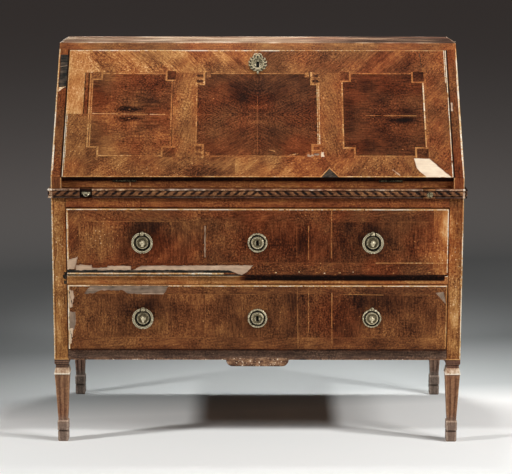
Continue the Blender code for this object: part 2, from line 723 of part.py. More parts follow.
def wreath_key_plate():
    """Leafy oval wreath round a keyhole, tied with a bow at the top."""
    def leafy(angle):
        swell = WREATH_TUBE + WREATH_SWELL * math.cos(WREATH_LEAVES * angle)
        return swell, swell

    shape = loop(WREATH_HALF_WIDTH, WREATH_HALF_HEIGHT, 0.0, 2 * math.pi, WREATH_STEPS, WREATH_SIDES, leafy)
    stretch = Matrix.Diagonal((1.0, WREATH_HALF_HEIGHT / WREATH_HALF_WIDTH, 1.0, 1.0))
    field = moved(rod(WREATH_HALF_WIDTH, 0.0, WREATH_FIELD_THICK, PLATE_SIDES), stretch)
    shape = joined(shape, field)
    bow_y = WREATH_HALF_HEIGHT + WREATH_TUBE + BOW_RADIUS / 2
    for side in (-1, 1):
        wire = (BOW_WIRE, BOW_WIRE)
        curl = loop(BOW_RADIUS, BOW_RADIUS, 0.0, 2 * math.pi, BOW_STEPS, WREATH_SIDES, lambda _: wire)
        bmesh.ops.translate(curl, vec=(side * BOW_RADIUS, bow_y, BOW_WIRE / 2), verts=curl.verts)
        shape = joined(shape, curl)
    reach = 2 * (WREATH_HALF_HEIGHT + WREATH_TUBE + BOW_RADIUS)
    back = slab((-reach, -reach, -reach), (reach, reach, 0.0))
    shape = cut(shape, back, keyhole_cutter(reach))
    return moved(shape, on_fall(0.0, FALL_KEYHOLE, LEAF_THICK + SEAT))


def loper_levels():
    """Heights of a loper's underside and top."""
    return ROPE_Z + LOPER_LIFT, BED_Z - ROPE_GAP - LOPER_DROP


def build_lopers(axes, walnut, plain_wood, brass):
    """Pull-out arms, the bearer they run on and their pulls."""
    low, high = loper_levels()
    inside = INNER_X - SEAT
    gap = LOPER_WIDTH / 2 + RUNNING
    base = low - SEAT
    rib_top = BED_Z - SEAT
    right_edge = [(inside, base - BEARER_THICK), (inside, base)]
    for near, far in ((gap + BEARER_RIB, gap), (-gap, -gap - BEARER_RIB)):
        right_edge += [(LOPER_X + near, base), (LOPER_X + near, rib_top)]
        right_edge += [(LOPER_X + far, rib_top), (LOPER_X + far, base)]
    outline = right_edge + [(-x, z) for x, z in right_edge[::-1]]
    add_piece("loper_bearer", prism(outline, 1, FRAME_BACK + SEAT, BACK_INNER - SEAT), plain_wood)

    def bar(side):
        half = LOPER_WIDTH / 2
        corners = (LOPER_X - half, FRONT, low), (LOPER_X + half, BACK_INNER - LOPER_REAR_GAP, high)
        return handed(slab(*corners), side)

    add_piece("left_loper", bar(-1), walnut, axes["left_loper"])
    facing = rope(LOPER_X - LOPER_WIDTH / 2, LOPER_X + LOPER_WIDTH / 2)
    facing = moved(facing, Matrix.Translation((0.0, FRONT + ROPE_LAP, ROPE_MIDDLE)))
    socket_y = FRONT - ROPE_PROJECTION + KNOB_SOCKET
    socket = rod(KNOB_SHANK + SEAT, 0.0, KNOB_SOCKET + ROPE_PROJECTION, 16)
    socket = moved(socket, on_front(LOPER_X, socket_y, ROPE_MIDDLE))
    add_piece("right_loper", cut(joined(bar(1), facing), socket), walnut, axes["right_loper"])

    knob = turned(
        [
            (KNOB_SHANK, SEAT),
            (KNOB_SHANK, KNOB_SOCKET + KNOB_LENGTH * 0.35),
            (KNOB_RADIUS * 0.9, KNOB_SOCKET + KNOB_LENGTH * 0.55),
            (KNOB_RADIUS, KNOB_SOCKET + KNOB_LENGTH * 0.75),
            (KNOB_RADIUS * 0.75, KNOB_SOCKET + KNOB_LENGTH * 0.93),
            (0.0, KNOB_SOCKET + KNOB_LENGTH),
        ],
        16,
    )
    knob = moved(knob, on_front(LOPER_X, socket_y, ROPE_MIDDLE))
    add_piece("right_loper_knob", knob, brass, axes["right_loper"], smooth=True)

    half = STAPLE_WIDTH / 2
    plate = slab((-half, -STAPLE_HEIGHT / 2, 0.0), (half, STAPLE_HEIGHT / 2, STAPLE_THICK))
    wire = loop(STAPLE_RADIUS, STAPLE_RADIUS, math.pi, 2 * math.pi, 10, 6, lambda _: (STAPLE_WIRE, STAPLE_WIRE))
    bmesh.ops.translate(wire, vec=(0.0, 0.0, STAPLE_THICK), verts=wire.verts)
    staple = moved(joined(plate, wire), on_front(-LOPER_X, FRONT - SEAT, (low + high) / 2))
    add_piece("left_loper_staple", staple, brass, axes["left_loper"])


def drawer_bolt_y():
    """Y of the middle of a drawer's lock bolt, behind the drawer front."""
    return FRONT - DRAWER_PROUD + FRONT_THICK + SEAT + DRAWER_LOCK_THICK / 2


def pull_plate(hung):
    """Round backplate with a rosette and an ear: a drilled post where a ring hangs, a bare hole where none does."""
    profile = [
        (PLATE_RADIUS, 0.0),
        (PLATE_RADIUS, PLATE_BASE),
        (PLATE_RADIUS - 0.0012, PLATE_RIM),
        (PLATE_RADIUS - 0.0035, PLATE_BASE),
        (ROSETTE_RADIUS + 0.0008, PLATE_BASE),
        (ROSETTE_RADIUS, ROSETTE_HEIGHT * 0.65),
        (ROSETTE_RADIUS - 0.0030, ROSETTE_HEIGHT * 0.80),
        (ROSETTE_RADIUS - 0.0055, ROSETTE_HEIGHT * 0.60),
        (ROSETTE_RADIUS - 0.0110, ROSETTE_HEIGHT * 0.90),
        (0.0, ROSETTE_HEIGHT),
    ]
    ear = rod(EAR_RADIUS, 0.0, PLATE_BASE, 16)
    lift = Matrix.Translation((0.0, ring_axis_height(), 0.0))
    shape = joined(turned(profile, PLATE_SIDES), moved(ear, lift))
    if not hung:
        return cut(shape, moved(rod(EAR_HOLE, -PLATE_BASE, 2 * PLATE_BASE, 12), lift))
    post = turned([(POST_RADIUS, 0.0), (POST_RADIUS, POST_LENGTH * 0.8), (0.0, POST_LENGTH)], 16)
    bore_radius = RING_PIN + RING_CLEARANCE
    bore = cross_rod(bore_radius, -PLATE_RADIUS, PLATE_RADIUS, ring_axis_height(), ring_stand(), 12)
    return cut(joined(shape, moved(post, lift)), bore)


def ring_axis_height():
    """Height of a ring's pivot over the middle of its plate."""
    return RING_RADIUS * math.cos(RING_GAP_ANGLE)


def ring_stand():
    """Distance of the middle of a hanging ring from the drawer front."""
    return PLATE_RIM + RING_STAND_OFF + RING_HALF_WIDE


def pull_ring():
    """Open ring whose two ends carry small pins, turned into the post from either side."""
    start = math.pi / 2 + RING_GAP_ANGLE
    end = math.pi * 5 / 2 - RING_GAP_ANGLE
    size = (RING_HALF_WIDE, RING_HALF_DEEP)
    shape = loop(RING_RADIUS, RING_RADIUS, start, end, RING_STEPS, RING_SIDES, lambda _: size)
    end_x = RING_RADIUS * math.sin(RING_GAP_ANGLE) + RING_PIN
    for low, high in ((-end_x, -RING_PIN_END), (RING_PIN_END, end_x)):
        shape = joined(shape, cross_rod(RING_PIN, low, high, ring_axis_height(), 0.0, 8))
    bmesh.ops.translate(shape, vec=(0.0, 0.0, ring_stand()), verts=shape.verts)
    return shape


def round_key_plate():
    """Turned plate with a rim, a groove and a raised boss, pierced by the keyhole."""
    profile = [
        (KEY_PLATE_RADIUS, 0.0),
        (KEY_PLATE_RADIUS, PLATE_BASE),
        (KEY_PLATE_RADIUS - 0.0015, PLATE_RIM),
        (KEY_PLATE_RADIUS - 0.0045, PLATE_BASE * 0.8),
        (KEY_BOSS_RADIUS + 0.0020, PLATE_BASE * 0.8),
        (KEY_BOSS_RADIUS, KEY_BOSS_HEIGHT * 0.75),
        (KEY_BOSS_RADIUS - 0.0035, KEY_BOSS_HEIGHT),
        (KEY_BOSS_RADIUS - 0.0075, KEY_BOSS_HEIGHT * 0.8),
        (0.0, KEY_BOSS_HEIGHT * 0.8),
    ]
    return cut(turned(profile, PLATE_SIDES), keyhole_cutter(2 * KEY_BOSS_HEIGHT))


def build_drawer(name, open_z, front_z, front_height, axes, finishes):
    """Long drawer: a proud front, two sides, a back, a bottom, its lock and its brasses."""
    walnut, plain_wood, brass, iron = finishes
    carrier = axes[f"{name}_drawer"]
    half = STILE_INNER_X - DRAWER_SIDE_GAP
    front_y = FRONT - DRAWER_PROUD
    inner_y = front_y + FRONT_THICK
    middle_z = front_z + front_height / 2
    top_z = front_z + front_height

    keyhole = moved(keyhole_cutter(2 * FRONT_THICK), on_front(0.0, front_y, middle_z))
    front = cut(slab((-half, front_y, front_z), (half, inner_y, top_z)), keyhole)
    add_piece(f"{name}_drawer_front", front, walnut, carrier)

    low_z = open_z + SEAT
    side_top = top_z - DRAWER_TOP_DROP
    box_front = inner_y + SEAT
    box_back = BACK_INNER - DRAWER_REAR_GAP
    for side_name, side in (("left", -1), ("right", 1)):
        board = slab((half - DRAWER_SIDE, box_front, low_z), (half, box_back, side_top))
        add_piece(f"{name}_drawer_{side_name}_side", handed(board, side), plain_wood, carrier)
    inner_half = half - DRAWER_SIDE - SEAT
    back = slab((-inner_half, box_back - DRAWER_BACK, low_z), (inner_half, box_back, side_top))
    add_piece(f"{name}_drawer_back", back, plain_wood, carrier)
    bottom_z = low_z + DRAWER_BOTTOM_LIFT
    bottom_back = box_back - DRAWER_BACK - SEAT
    bottom = slab((-inner_half, box_front, bottom_z), (inner_half, bottom_back, bottom_z + DRAWER_BOTTOM))
    add_piece(f"{name}_drawer_bottom", bottom, plain_wood, carrier)

    def bolt(spare, above):
        y = drawer_bolt_y()
        low = (-BOLT_WIDTH / 2 - spare, y - BOLT_THICK / 2 - spare, top_z - BOLT_LENGTH - spare)
        return slab(low, (BOLT_WIDTH / 2 + spare, y + BOLT_THICK / 2 + spare, top_z - SEAT + above))

    lock_half = DRAWER_LOCK_WIDTH / 2
    lock_low = (-lock_half, box_front, middle_z - DRAWER_LOCK_TAIL)
    lock_high = (lock_half, box_front + DRAWER_LOCK_THICK, top_z - SEAT)
    add_piece(f"{name}_drawer_lock", cut(slab(lock_low, lock_high), bolt(SEAT, RUNNING)), iron, carrier)
    add_piece(f"{name}_drawer_bolt", bolt(0.0, 0.0), iron, axes[f"{name}_bolt"])

    seat_y = front_y - SEAT
    key_plate = moved(round_key_plate(), on_front(0.0, seat_y, middle_z))
    add_piece(f"{name}_drawer_key_plate", key_plate, brass, carrier, smooth=True)
    for side_name, side in (("left", -1), ("right", 1)):
        place = on_front(side * PULL_X, seat_y, middle_z)
        ring_axis = axes.get(f"{name}_{side_name}_ring")
        plate = moved(pull_plate(ring_axis is not None), place)
        add_piece(f"{name}_{side_name}_pull_plate", plate, brass, carrier, smooth=True)
        if ring_axis:
            add_piece(f"{name}_{side_name}_ring", moved(pull_ring(), place), brass, ring_axis, smooth=True)


def nest_front():
    """Y of the front edges of the nest, behind the lip of the top board."""
    return fall_point(FALL_LENGTH + FALL_TOP_GAP, LEAF_THICK - LOCK_RAIL_DEPTH)[0] + NEST_SETBACK


def build_nest(axes, plain_wood, walnut):
    """Shelf and two dividers fixed on the bed, with a small drawer in each outer bay."""
    front_y = nest_front()
    back_y = BACK_INNER - SEAT
    inside = INNER_X - SEAT
    shelf_z = BED_TOP + NEST_ROW
    shape = slab((-inside, front_y, shelf_z), (inside, back_y, shelf_z + NEST_BOARD))
    for side in (-1, 1):
        x = side * NEST_DIVIDER_X
        low = (x - NEST_BOARD / 2, front_y, BED_TOP + SEAT)
        shape = joined(shape, slab(low, (x + NEST_BOARD / 2, back_y, TOP_UNDER - SEAT)))
    add_piece("nest_frame", shape, plain_wood)

    low = Vector((NEST_DIVIDER_X + NEST_BOARD / 2 + NEST_GAP, front_y, BED_TOP + SEAT))
    high = Vector((INNER_X - NEST_GAP, back_y - NEST_GAP, shelf_z - NEST_GAP))
    wall = Vector((NEST_WALL, NEST_WALL, NEST_WALL))
    hollow_high = (high.x - NEST_WALL, high.y - NEST_WALL, high.z + NEST_WALL)
    knob_z = (low.z + high.z) / 2
    profile = [
        (NEST_KNOB_RADIUS * 0.5, -NEST_WALL / 2),
        (NEST_KNOB_RADIUS * 0.5, NEST_KNOB_LENGTH * 0.4),
        (NEST_KNOB_RADIUS, NEST_KNOB_LENGTH * 0.7),
        (NEST_KNOB_RADIUS * 0.7, NEST_KNOB_LENGTH * 0.95),
        (0.0, NEST_KNOB_LENGTH),
    ]
    for name, side in (("left", -1), ("right", 1)):
        box = cut(slab(low, high), slab(low + wall, hollow_high))
        knob = moved(turned(profile, 12), on_front((low.x + high.x) / 2, front_y, knob_z))
        drawer = handed(joined(box, knob), side)
        add_piece(f"{name}_nest_drawer", drawer, walnut, axes[f"{name}_nest_drawer"])


def build_axes():
    """Empties on the joint axes, each drawer's bolt and rings carried by the drawer."""
    axes = {"fall": add_axis("fall_axis", (0.0, HINGE_Y, HINGE_Z))}
    bolt_place = FALL_FRAME @ Vector((0.0, FALL_LENGTH - BOLT_LENGTH, FALL_LOCK_THICK / 2))
    axes["fall_bolt"] = add_axis("fall_bolt_axis", bolt_place, axes["fall"])
    for name, side in (("left", -1), ("right", 1)):
        axes[f"{name}_loper"] = add_axis(f"{name}_loper_axis", (side * LOPER_X, FRONT, ROPE_MIDDLE))
        nest_x = side * (NEST_DIVIDER_X + INNER_X) / 2
        axes[f"{name}_nest_drawer"] = add_axis(f"{name}_nest_axis", (nest_x, nest_front(), BED_TOP))
    pulls = {"upper": (-1, 1), "lower": (-1,)}
    heights = {"upper": (UPPER_FRONT_Z, UPPER_FRONT), "lower": (LOWER_FRONT_Z, LOWER_FRONT)}
    for name, (front_z, front_height) in heights.items():
        middle_z = front_z + front_height / 2
        drawer = add_axis(f"{name}_drawer_axis", (0.0, FRONT, middle_z))
        axes[f"{name}_drawer"] = drawer
        bolt_low = (0.0, drawer_bolt_y(), front_z + front_height - BOLT_LENGTH)
        axes[f"{name}_bolt"] = add_axis(f"{name}_bolt_axis", bolt_low, drawer)
        for side in pulls[name]:
            side_name = "left" if side < 0 else "right"
            ring_y = FRONT - DRAWER_PROUD - SEAT - ring_stand()
            place = (side * PULL_X, ring_y, middle_z + ring_axis_height())
            axes[f"{name}_{side_name}_ring"] = add_axis(f"{name}_{side_name}_ring_axis", place, drawer)
    return axes


def main():
    for item in list(bpy.data.objects):
        bpy.data.objects.remove(item, do_unlink=True)
    walnut = finish("walnut", (0.17, 0.065, 0.028), 0.45)
    fall_walnut = finish("fall_walnut", (0.26, 0.12, 0.045), 0.42)
    plain_wood = finish("plain_wood", (0.36, 0.22, 0.11), 0.65)
    brass = finish("brass", (0.42, 0.36, 0.22), 0.38, 1.0)
    iron = finish("iron", (0.10, 0.09, 0.085), 0.55, 1.0)
    axes = build_axes()
    build_case(walnut, plain_wood)
    build_rails(walnut)
    build_rope_mouldings(walnut)
    build_legs(walnut)
    build_hinges(brass, axes["fall"])
    build_fall(axes["fall"], axes["fall_bolt"], fall_walnut, brass, iron)
    build_lopers(axes, walnut, plain_wood, brass)
    finishes = (walnut, plain_wood, brass, iron)
    build_drawer("upper", UPPER_OPEN_Z, UPPER_FRONT_Z, UPPER_FRONT, axes, finishes)
    build_drawer("lower", LOWER_OPEN_Z, LOWER_FRONT_Z, LOWER_FRONT, axes, finishes)
    build_nest(axes, plain_wood, walnut)


main()
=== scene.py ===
# %% [markdown]
# # An old slant-front bureau
# The real object is a walnut writing desk about two centuries old: a chest of two long drawers under a
# sloping fall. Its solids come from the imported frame, already in place and in metres. This lesson dresses
# them: veneers, carved rope, cast brass, worn edges, a studio floor and the photograph's camera.

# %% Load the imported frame
import functools
import json
import math
import random
from dataclasses import dataclass

import bmesh
import bpy
from mathutils import Matrix, Vector, geometry
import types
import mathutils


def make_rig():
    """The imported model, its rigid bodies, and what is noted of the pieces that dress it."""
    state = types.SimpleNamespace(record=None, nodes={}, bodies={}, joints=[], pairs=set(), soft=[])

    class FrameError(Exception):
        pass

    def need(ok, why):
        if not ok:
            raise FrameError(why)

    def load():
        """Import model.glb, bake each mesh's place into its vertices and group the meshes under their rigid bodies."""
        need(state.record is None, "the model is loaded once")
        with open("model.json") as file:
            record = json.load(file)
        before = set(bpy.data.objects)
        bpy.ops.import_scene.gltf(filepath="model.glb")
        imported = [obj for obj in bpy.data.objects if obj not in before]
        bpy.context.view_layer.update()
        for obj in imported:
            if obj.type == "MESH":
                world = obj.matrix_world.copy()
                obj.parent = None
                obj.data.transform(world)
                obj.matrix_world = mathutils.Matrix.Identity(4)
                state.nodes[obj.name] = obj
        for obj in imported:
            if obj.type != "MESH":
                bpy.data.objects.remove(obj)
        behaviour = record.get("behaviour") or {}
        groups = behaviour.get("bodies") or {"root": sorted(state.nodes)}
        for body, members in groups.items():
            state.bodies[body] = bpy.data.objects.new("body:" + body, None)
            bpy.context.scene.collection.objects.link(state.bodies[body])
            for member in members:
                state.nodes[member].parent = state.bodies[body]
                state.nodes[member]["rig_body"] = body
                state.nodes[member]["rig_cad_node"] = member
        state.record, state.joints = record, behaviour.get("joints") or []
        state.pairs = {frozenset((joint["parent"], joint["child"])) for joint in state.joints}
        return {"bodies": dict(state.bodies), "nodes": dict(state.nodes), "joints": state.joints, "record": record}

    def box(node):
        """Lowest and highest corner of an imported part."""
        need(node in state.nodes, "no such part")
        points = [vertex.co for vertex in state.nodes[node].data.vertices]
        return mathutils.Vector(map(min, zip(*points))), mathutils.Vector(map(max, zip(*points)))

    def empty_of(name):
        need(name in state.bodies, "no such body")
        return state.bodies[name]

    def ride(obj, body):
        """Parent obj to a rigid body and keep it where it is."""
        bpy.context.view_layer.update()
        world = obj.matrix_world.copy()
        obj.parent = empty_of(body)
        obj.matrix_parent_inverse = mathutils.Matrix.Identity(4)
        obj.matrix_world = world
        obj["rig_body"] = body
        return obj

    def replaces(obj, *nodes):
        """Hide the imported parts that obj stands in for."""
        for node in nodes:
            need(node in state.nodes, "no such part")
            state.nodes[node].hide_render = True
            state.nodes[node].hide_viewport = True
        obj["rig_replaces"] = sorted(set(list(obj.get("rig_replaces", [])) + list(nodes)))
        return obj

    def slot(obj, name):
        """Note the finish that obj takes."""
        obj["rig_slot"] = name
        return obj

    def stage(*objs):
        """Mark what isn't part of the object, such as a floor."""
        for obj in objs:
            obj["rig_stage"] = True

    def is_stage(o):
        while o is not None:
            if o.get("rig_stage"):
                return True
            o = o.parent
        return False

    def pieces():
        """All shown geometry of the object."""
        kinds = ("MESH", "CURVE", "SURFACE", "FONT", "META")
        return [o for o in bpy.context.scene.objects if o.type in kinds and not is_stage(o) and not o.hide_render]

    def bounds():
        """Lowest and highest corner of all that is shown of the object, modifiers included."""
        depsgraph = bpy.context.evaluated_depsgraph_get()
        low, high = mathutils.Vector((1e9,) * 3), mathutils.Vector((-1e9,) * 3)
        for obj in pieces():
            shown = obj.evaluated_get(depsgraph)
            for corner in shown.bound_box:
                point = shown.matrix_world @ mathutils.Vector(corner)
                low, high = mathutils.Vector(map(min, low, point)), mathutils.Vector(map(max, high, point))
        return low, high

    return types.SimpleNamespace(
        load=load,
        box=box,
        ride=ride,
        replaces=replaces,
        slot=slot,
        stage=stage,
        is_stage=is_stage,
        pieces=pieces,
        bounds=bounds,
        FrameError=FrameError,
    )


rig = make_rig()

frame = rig.load()
CAD_LOW, CAD_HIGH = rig.bounds()
nodes = frame["nodes"]
joints = {joint["name"]: joint for joint in frame["joints"]}
print("CAD box", [round(high - low, 4) for low, high in zip(CAD_LOW, CAD_HIGH)], "nodes", len(nodes))

# %% [markdown]
# ## Writing node trees as sums
# A material is a graph of nodes. Wiring it by hand takes many lines, so a small class wraps one socket and
# lets Python's own operators add the Math nodes. A second class holds the tree and makes every other kind of
# node.


# %% A socket that can be added and multiplied
def plug(socket, value):
    """Give a socket a link if the value is a flow, and a plain value if it isn't."""
    if isinstance(value, Flow):
        socket.id_data.links.new(value.socket, socket)
    else:
        socket.default_value = value


class Flow:
    """The output of a node. Operators on it add Math nodes to the same tree."""

    def __init__(self, socket):
        self.socket = socket

    def maths(self, operation, *values):
        made = self.socket.id_data.nodes.new("ShaderNodeMath")
        made.operation = operation
        for socket, value in zip(made.inputs, values):
            plug(socket, value)
        return Flow(made.outputs[0])

    def __add__(self, other):
        return self.maths("ADD", self, other)

    def __sub__(self, other):
        return self.maths("SUBTRACT", self, other)

    def __rsub__(self, other):
        return self.maths("SUBTRACT", other, self)

    def __mul__(self, other):
        return self.maths("MULTIPLY", self, other)

    def __truediv__(self, other):
        return self.maths("DIVIDE", self, other)

    def __pow__(self, other):
        return self.maths("POWER", self, other)

    def __abs__(self):
        return self.maths("ABSOLUTE", self)

    __radd__ = __add__
    __rmul__ = __mul__

    def least(self, other):
        return self.maths("MINIMUM", self, other)

    def most(self, other):
        return self.maths("MAXIMUM", self, other)

    def over(self, limit):
        return self.maths("GREATER_THAN", self, limit)


class Graph:
    """A node tree, and one method that makes any node in it."""

    def __init__(self, tree):
        self.tree = tree

    def node(self, kind, settings=None, inputs=None, output=0):
        """Set the node's settings first, then the values or links of its sockets."""
        made = self.tree.nodes.new(kind)
        for key, value in (settings or {}).items():
            if key == "stops":
                set_stops(made.color_ramp, value)
            else:
                setattr(made, key, value)
        for key, value in (inputs or {}).items():
            plug(made.inputs[key], value)
        return Flow(made.outputs[output]) if made.outputs else None

    def vector(self, x, y, z):
        return self.node("ShaderNodeCombineXYZ", inputs={0: x, 1: y, 2: z})

    def parts(self, vector):
        made = self.node("ShaderNodeSeparateXYZ", inputs={0: vector}).socket.node
        return tuple(Flow(socket) for socket in made.outputs)

    def noise(self, vector, detail=2.0, rough=0.5):
        """Smooth noise round 0, with one feature for each unit of the vector."""
        inputs = {"Vector": vector, "Scale": 1.0, "Detail": detail, "Roughness": rough}
        return self.node("ShaderNodeTexNoise", inputs=inputs) - 0.5

    def step(self, value, low, high):
        """0 below low, 1 above high, smooth between."""
        inputs = {"Value": value, "From Min": low, "From Max": high}
        return self.node("ShaderNodeMapRange", {"interpolation_type": "SMOOTHSTEP"}, inputs)

    def below(self, value, low, high):
        """1 below low, 0 above high, smooth between."""
        return 1 - self.step(value, low, high)

    def band(self, value, low, full, fading, high):
        """1 from full to fading, 0 below low and above high."""
        return self.step(value, low, full) * self.below(value, fading, high)

    def scaled(self, vector, times):
        return self.node("ShaderNodeVectorMath", {"operation": "SCALE"}, {0: vector, "Scale": times})

    def place(self):
        """Object coordinates: where a spot is in the part's frame, in metres."""
        return self.node("ShaderNodeTexCoord", output=3)

    def attribute(self, name):
        return self.node("ShaderNodeAttribute", {"attribute_name": name}, output=2)

    def ramp(self, value, stops):
        return self.node("ShaderNodeValToRGB", {"stops": stops}, {0: value})

    def mix(self, share, first, second):
        """Blend of two colours."""
        return self.node("ShaderNodeMix", {"data_type": "RGBA"}, {0: share, 6: first, 7: second}, 2)


def set_stops(color_ramp, stops):
    """Give a colour ramp these stops, as pairs of a place and a colour."""
    while len(color_ramp.elements) < len(stops):
        color_ramp.elements.new(1.0)
    for element, (place, colour) in zip(color_ramp.elements, stops):
        element.position = place
        element.color = colour


def srgb(red, green, blue):
    """A colour as a screen shows it, each part 0 to 255, in the linear form that a shader takes."""
    shares = [part / 255 for part in (red, green, blue)]
    return (*[s / 12.92 if s <= 0.04045 else ((s + 0.055) / 1.055) ** 2.4 for s in shares], 1.0)


print("one socket class and one tree class are ready")

# %% [markdown]
# ## Old walnut
# Walnut shows dark growth lines along the grain, cloudy figure, and short pores. Polish and light bleach it
# from chocolate to honey. One scale of tones from 0 to 1 holds all of these colours, so a sheet of veneer
# needs only a tone, a grain direction and a number that picks its own part of the noise.


# %% The walnut pattern
WALNUT = [
    (0.00, srgb(24, 15, 12)),
    (0.14, srgb(56, 31, 20)),
    (0.29, srgb(98, 58, 34)),
    (0.42, srgb(131, 84, 48)),
    (0.54, srgb(162, 111, 64)),
    (0.66, srgb(190, 138, 82)),
    (0.78, srgb(212, 168, 112)),
    (0.90, srgb(226, 198, 158)),
    (1.00, srgb(240, 226, 204)),
]
RED_WALNUT = [
    (0.00, srgb(22, 12, 9)),
    (0.14, srgb(60, 26, 13)),
    (0.29, srgb(106, 51, 28)),
    (0.42, srgb(142, 78, 43)),
    (0.54, srgb(171, 106, 55)),
    (0.66, srgb(194, 132, 80)),
    (0.78, srgb(213, 165, 112)),
    (0.90, srgb(228, 196, 158)),
    (1.00, srgb(240, 226, 206)),
]


def walnut_pattern(graph, across, along, sheet, grit_share=1.0):
    """Change of tone, and height of the surface, over walnut; across and along the grain in metres."""
    sway = graph.noise(graph.vector(across * 11, along * 6, sheet), 2)
    across = across + sway * 0.018
    bands = graph.noise(graph.vector(across * 30, along * 4, sheet + 8), 3, 0.55)
    lines = graph.noise(graph.vector(across * 240, along * 26, sheet), 3, 0.65)
    cloud = graph.noise(graph.vector(across * 18, along * 14, sheet + 4), 5, 0.66)
    fibre = graph.noise(graph.vector(across * 1000, along * 90, sheet), 2)
    grit = graph.noise(graph.vector(across * 230, along * 190, sheet + 2), 3, 0.7)
    pores = graph.step(graph.noise(graph.vector(across * 1500, along * 140, sheet), 1), 0.08, 0.18)
    dulled = graph.step(graph.noise(graph.vector(across * 9, along * 8, sheet + 6), 3), -0.16, 0.18)
    worn = grit * (0.30 + dulled * 0.75) * grit_share
    tone = bands * 0.22 + lines * 0.42 + cloud * 0.50 + fibre * 0.24 + worn - pores * 0.08
    return tone, lines * 0.5 + fibre + worn * 0.4 - pores


def walnut_colour(graph, level, place, brown=0.0, red=0.0):
    """Colour for a level of tone: red walnut in some places and brown in others, or more of one of them."""
    share = graph.step(graph.noise(graph.scaled(place, 7), 3), -0.12, 0.16)
    share = (share * (1 - brown)).most(red)
    return graph.mix(share, graph.ramp(level, WALNUT), graph.ramp(level, RED_WALNUT))


def specks(graph, vector, cell, share, dimensions="3D"):
    """Small pale chips and dust spots: at most one in each cell, and only in a share of the cells. In 2D each
    of these cells shows its spot, and in 3D only those whose spot lies close to the surface."""
    cells = {"Vector": vector, "Scale": 1.0 / cell}
    near = graph.node("ShaderNodeTexVoronoi", {"voronoi_dimensions": dimensions}, cells)
    pick = graph.node("ShaderNodeTexVoronoi", {"voronoi_dimensions": dimensions}, cells, 1)
    draw = graph.parts(pick)
    return graph.below(near, 0.03, 0.05 + draw[1] * 0.14) * draw[0].over(1 - share)


def shade(graph, colour, roughness, height, depth, metallic=0.0, coat=0.0, specular=0.5):
    """Close a material: one Principled shader with its bump."""
    bump = graph.node("ShaderNodeBump", inputs={"Strength": 1.0, "Distance": depth, "Height": height})
    inputs = {"Base Color": colour, "Roughness": roughness, "Normal": bump, "Metallic": metallic}
    inputs |= {"Coat Weight": coat, "Coat Roughness": 0.3, "Specular IOR Level": specular}
    surface = graph.node("ShaderNodeBsdfPrincipled", inputs=inputs)
    graph.node("ShaderNodeOutputMaterial", inputs={"Surface": surface})


def new_finish(name):
    """An empty material and its tree."""
    material = bpy.data.materials.new(name)
    material.use_nodes = True
    material.node_tree.nodes.clear()
    return material, Graph(material.node_tree)


print("walnut runs through", len(WALNUT), "tones")

# %% [markdown]
# ## Veneer and bare ground
# The show faces are thin sheets of veneer glued on a plain board. Each sheet has its own grain direction, so
# the pattern follows a UV map that is laid along the grain, in metres. Tone, sheet number and knots are
# attributes of the faces. Where veneer is lost, the board under it is bare, pale and scored.


# %% Veneer finish
# Cloudy places on the show faces: across and height in metres, two half sizes, and the change of tone.
STAINS = [
    (-0.150, 0.736, 0.070, 0.018, -0.20), (-0.100, 1.000, 0.080, 0.020, -0.15),
    (-0.215, 1.006, 0.030, 0.018, -0.12), (-0.035, 0.930, 0.060, 0.060, -0.12),
    (-0.275, 0.945, 0.060, 0.045, -0.10), (0.110, 0.740, 0.090, 0.022, 0.08),
    (0.130, 0.800, 0.080, 0.030, 0.06), (-0.390, 0.800, 0.050, 0.030, 0.05),
    (0.420, 0.990, 0.060, 0.030, -0.08), (-0.420, 0.560, 0.060, 0.070, 0.10),
    (-0.300, 0.572, 0.085, 0.060, -0.13), (0.503, 0.595, 0.026, 0.050, 0.24),
    (0.470, 0.515, 0.050, 0.020, 0.12), (0.300, 0.575, 0.100, 0.060, -0.09),
    (0.070, 0.540, 0.080, 0.060, -0.06), (-0.290, 0.375, 0.110, 0.045, -0.12),
    (-0.100, 0.360, 0.050, 0.040, -0.10), (0.310, 0.395, 0.110, 0.050, -0.14),
    (-0.300, 0.280, 0.220, 0.018, 0.06), (0.470, 0.290, 0.050, 0.030, 0.10),
    (0.140, 0.290, 0.060, 0.024, 0.05), (0.524, 0.405, 0.020, 0.034, 0.20),
    (0.527, 0.345, 0.022, 0.045, 0.26), (0.524, 0.270, 0.020, 0.026, 0.10),
    (-0.530, 0.330, 0.020, 0.080, 0.06), (0.526, 0.600, 0.022, 0.090, -0.05),
    (-0.534, 0.550, 0.030, 0.110, 0.11), (-0.205, 0.550, 0.060, 0.060, -0.05),
    (0.110, 0.560, 0.080, 0.060, -0.04), (-0.205, 0.350, 0.060, 0.060, -0.05),
    (0.245, 0.350, 0.050, 0.070, -0.06),
]
